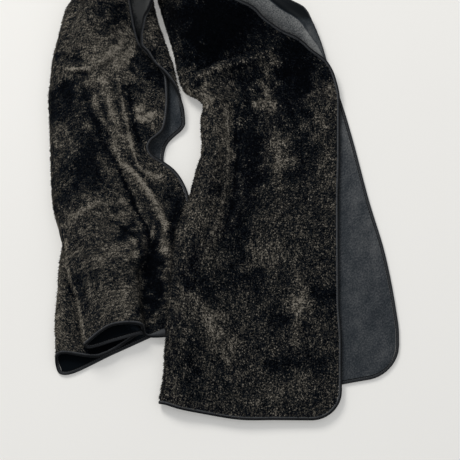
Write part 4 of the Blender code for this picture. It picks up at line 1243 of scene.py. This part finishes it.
def stage_finish():
    """Pale matt surface with a painted glow, which brightens it even where the lamps leave it in shade."""
    finish = Finish(
        "pale_surface", roughness=0.7, sheen=0.0, sheen_roughness=0.5,
        sheen_tint=(1.0, 1.0, 1.0), specular=0.2,
    )
    finish.colour(finish.ramp(finish.object_noise(scale=3.0, detail=2.0), STAGE_STOPS))
    finish.shader.inputs["Emission Color"].default_value = STAGE_PAINTED_GLOW_COLOUR
    finish.shader.inputs["Emission Strength"].default_value = STAGE_PAINTED_GLOW
    return finish.material


def every_second_row(values):
    """Every second row, and the last one."""
    count = len(values)
    return values[np.unique(np.append(np.arange(0, count, 2), count - 1))]


def make_half(name, half, cloth, finishes):
    """All pieces of one half: pile cloth, lining, binding, stitches and locks, with the solids' parts that
    the first three stand for hidden.
    """
    cut = panel(cloth, PLY_INSET)
    across, along = cut["coordinates"][..., 0], cut["coordinates"][..., 1]
    mask = nap_mask(cut, half["nap"])
    clump = CLUMP_HEIGHT * waves(across, along, CLUMP_SIZE, CLUMP_SEED)
    outer = PILE_OUTER - mask * (LOCK_ROOM - clump)
    coordinates = np.tile(cut["coordinates"].reshape(-1, 2), (2, 1))
    tones = np.tile(cut["tones"].ravel(), 2)
    plain = {"tone": tones, "grain": np.zeros(len(tones)), "height": np.zeros(len(tones))}
    corners, faces = wall(cut["points"], cut["normals"], PILE_INNER, outer)
    pile = add_piece("pile_cloth_" + name, corners, faces, finishes["pile"], coordinates, plain)
    labels = ("points", "normals", "coordinates", "lining_painted_shading")
    points, normals, coordinates, lining_painted_shading = (every_second_row(cut[label]) for label in labels)
    corners, faces = wall(points, normals, -LINING_OUTER, -PLY_GAP / 2)
    coordinates = np.tile(coordinates.reshape(-1, 2), (2, 1))
    # Painted light and shade of the lining
    shades = {"tone": np.tile(lining_painted_shading.ravel(), 2)}
    lining = add_piece("lining_cloth_" + name, corners, faces, finishes["lining"], coordinates, shades)
    rails, rail_normals = edge_frame(cloth)
    corners, faces, coordinates, shades = binding_tape(rails, rail_normals)
    tape = add_piece("edge_binding_" + name, corners, faces, finishes["binding"], coordinates, shades)
    corners, faces = stitches(rails, rail_normals)
    thread = add_piece("edge_stitches_" + name, corners, faces, finishes["thread"], smooth=False)
    nap = []
    for number, seed in enumerate(half["lock_seeds"], start=1):
        corners, faces, spots, values = locks(cut, outer, mask, LOCK_COUNT, seed)
        label = f"pile_locks_{name}_{number}"
        nap.append(add_piece(label, corners, faces, finishes["pile"], spots, values, smooth=False))
    for piece, node, slot in (
        (pile, "pile_" + name, "pile"),
        (lining, "lining_" + name, "lining"),
        (tape, "binding_" + name, "binding"),
    ):
        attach(piece, "root")
        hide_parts(node)
    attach(thread, "root")
    for piece in nap:
        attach(piece, "root")


def solid_middle(halves):
    """The shift from the viewer's plane to the frame: the box of both halves is set on the frame's box."""
    low, high = np.full(3, np.inf), np.full(3, -np.inf)
    for cloth in halves:
        for inset, heights in ((0.0, (0.0,)), (PLY_INSET, (PILE_OUTER, -LINING_OUTER))):
            cut = panel(cloth, inset)
            for height in heights:
                spots = (cut["points"] + cut["normals"] * height).reshape(-1, 3)
                low, high = np.minimum(low, spots.min(axis=0)), np.maximum(high, spots.max(axis=0))
    frame_low, frame_high = (np.array(corner) / MM for corner in cad_box)
    shift = (frame_low + frame_high) / 2 - (low + high) / 2
    shift[2] = 0.0
    return shift


def add_camera():
    """The viewer: in front of the hems, tilted from straight down, aimed at the viewer's plane's middle."""
    camera = bpy.data.objects.new("viewer", bpy.data.cameras.new("viewer"))
    camera.data.lens = LENS
    camera.data.sensor_width = SENSOR
    camera.data.clip_end = FARTHEST_VIEW
    back = np.array([0.0, -math.sin(VIEW_TILT), math.cos(VIEW_TILT)])
    camera.location = (SHIFT + back * VIEW_DISTANCE) * MM
    camera.rotation_euler = (VIEW_TILT, 0.0, 0.0)
    bpy.context.scene.collection.objects.link(camera)
    bpy.context.scene.camera = camera


def add_soft_light(name, spot, aim, size, power, colour):
    """A large square lamp that faces a point."""
    lamp = bpy.data.lights.new(name, "AREA")
    lamp.shape = "SQUARE"
    lamp.size = size
    lamp.energy = power
    lamp.color = colour
    light = bpy.data.objects.new(name, lamp)
    light.location = spot
    direction = np.array(aim, float) - np.array(spot, float)
    light.rotation_euler = (
        math.acos(-direction[2] / np.linalg.norm(direction)),
        0.0,
        math.atan2(direction[1], direction[0]) - math.pi / 2,
    )
    bpy.context.scene.collection.objects.link(light)


def add_stage():
    """A pale surface below the stole, an even sky and two soft lamps.

    The surface is a square grid, level near the stole and rising far away with the square of the distance.
    """
    mesh = bpy.data.meshes.new("surface")
    ticks = np.linspace(-STAGE_REACH, STAGE_REACH, STAGE_CELLS + 1)
    right, far = np.meshgrid(ticks, ticks)
    beyond = np.clip((np.hypot(right, far) - STAGE_BEND) / (STAGE_REACH - STAGE_BEND), 0.0, None)
    corners = np.stack([right, far, STAGE_TOP + STAGE_RISE * beyond**2], axis=-1).reshape(-1, 3)
    faces = grid_faces(np.arange(len(corners)).reshape(right.shape))
    mesh.from_pydata(corners.tolist(), [], faces.tolist())
    mesh.shade_smooth()
    mesh.materials.append(stage_finish())
    surface = bpy.data.objects.new("surface", mesh)
    bpy.context.scene.collection.objects.link(surface)
    world = bpy.data.worlds.new("even_sky")
    world.use_nodes = True
    sky = world.node_tree.nodes["Background"]
    sky.inputs["Color"].default_value = SKY_COLOUR
    sky.inputs["Strength"].default_value = SKY_STRENGTH
    bpy.context.scene.world = world
    for lamp in LAMPS:
        add_soft_light(*lamp)
    bpy.context.scene.view_settings.view_transform = "Standard"


LEFT_HALF = {
    "sections": left_sections, "cells": LEFT_CELLS, "side": -1,
    "top_lines": (0.0, 1.5, 4.0, 5.5), "upper_lines": (0, 4),
    "creases": LEFT_CREASES, "ripples": LEFT_RIPPLES,
    "patches": LEFT_MOTTLE_AND_PAINTED_SHADING, "painted_bands": LEFT_PAINTED_BANDS,
    "lining_painted_spots": LEFT_LINING_PAINTED_SHADING, "lining_painted_bands": LEFT_LINING_PAINTED_BANDS,
    "nap": LEFT_NAP, "lock_seeds": LEFT_LOCK_SEEDS, "cut": (510.0, 610.0),
}
RIGHT_HALF = {
    "sections": right_sections, "cells": RIGHT_CELLS, "side": 1,
    "top_lines": (8.0, 9.0, 13.0, 14.0), "upper_lines": (10, 14),
    "creases": RIGHT_CREASES, "ripples": RIGHT_RIPPLES,
    "patches": RIGHT_MOTTLE_AND_PAINTED_SHADING, "painted_bands": RIGHT_PAINTED_BANDS,
    "lining_painted_spots": RIGHT_LINING_PAINTED_SHADING, "lining_painted_bands": RIGHT_LINING_PAINTED_BANDS,
    "nap": RIGHT_NAP, "lock_seeds": RIGHT_LOCK_SEEDS, "cut": (510.0, 640.0),
}
left_cloth, right_cloth = arm(LEFT_HALF), arm(RIGHT_HALF)
SHIFT = solid_middle((left_cloth, right_cloth))
add_stage()
add_camera()
FINISHES = {
    "pile": pile_finish(),
    "lining": lining_finish(),
    "binding": binding_finish(),
    "thread": thread_finish(),
}
make_half("left", LEFT_HALF, left_cloth, FINISHES)
make_half("right", RIGHT_HALF, right_cloth, FINISHES)
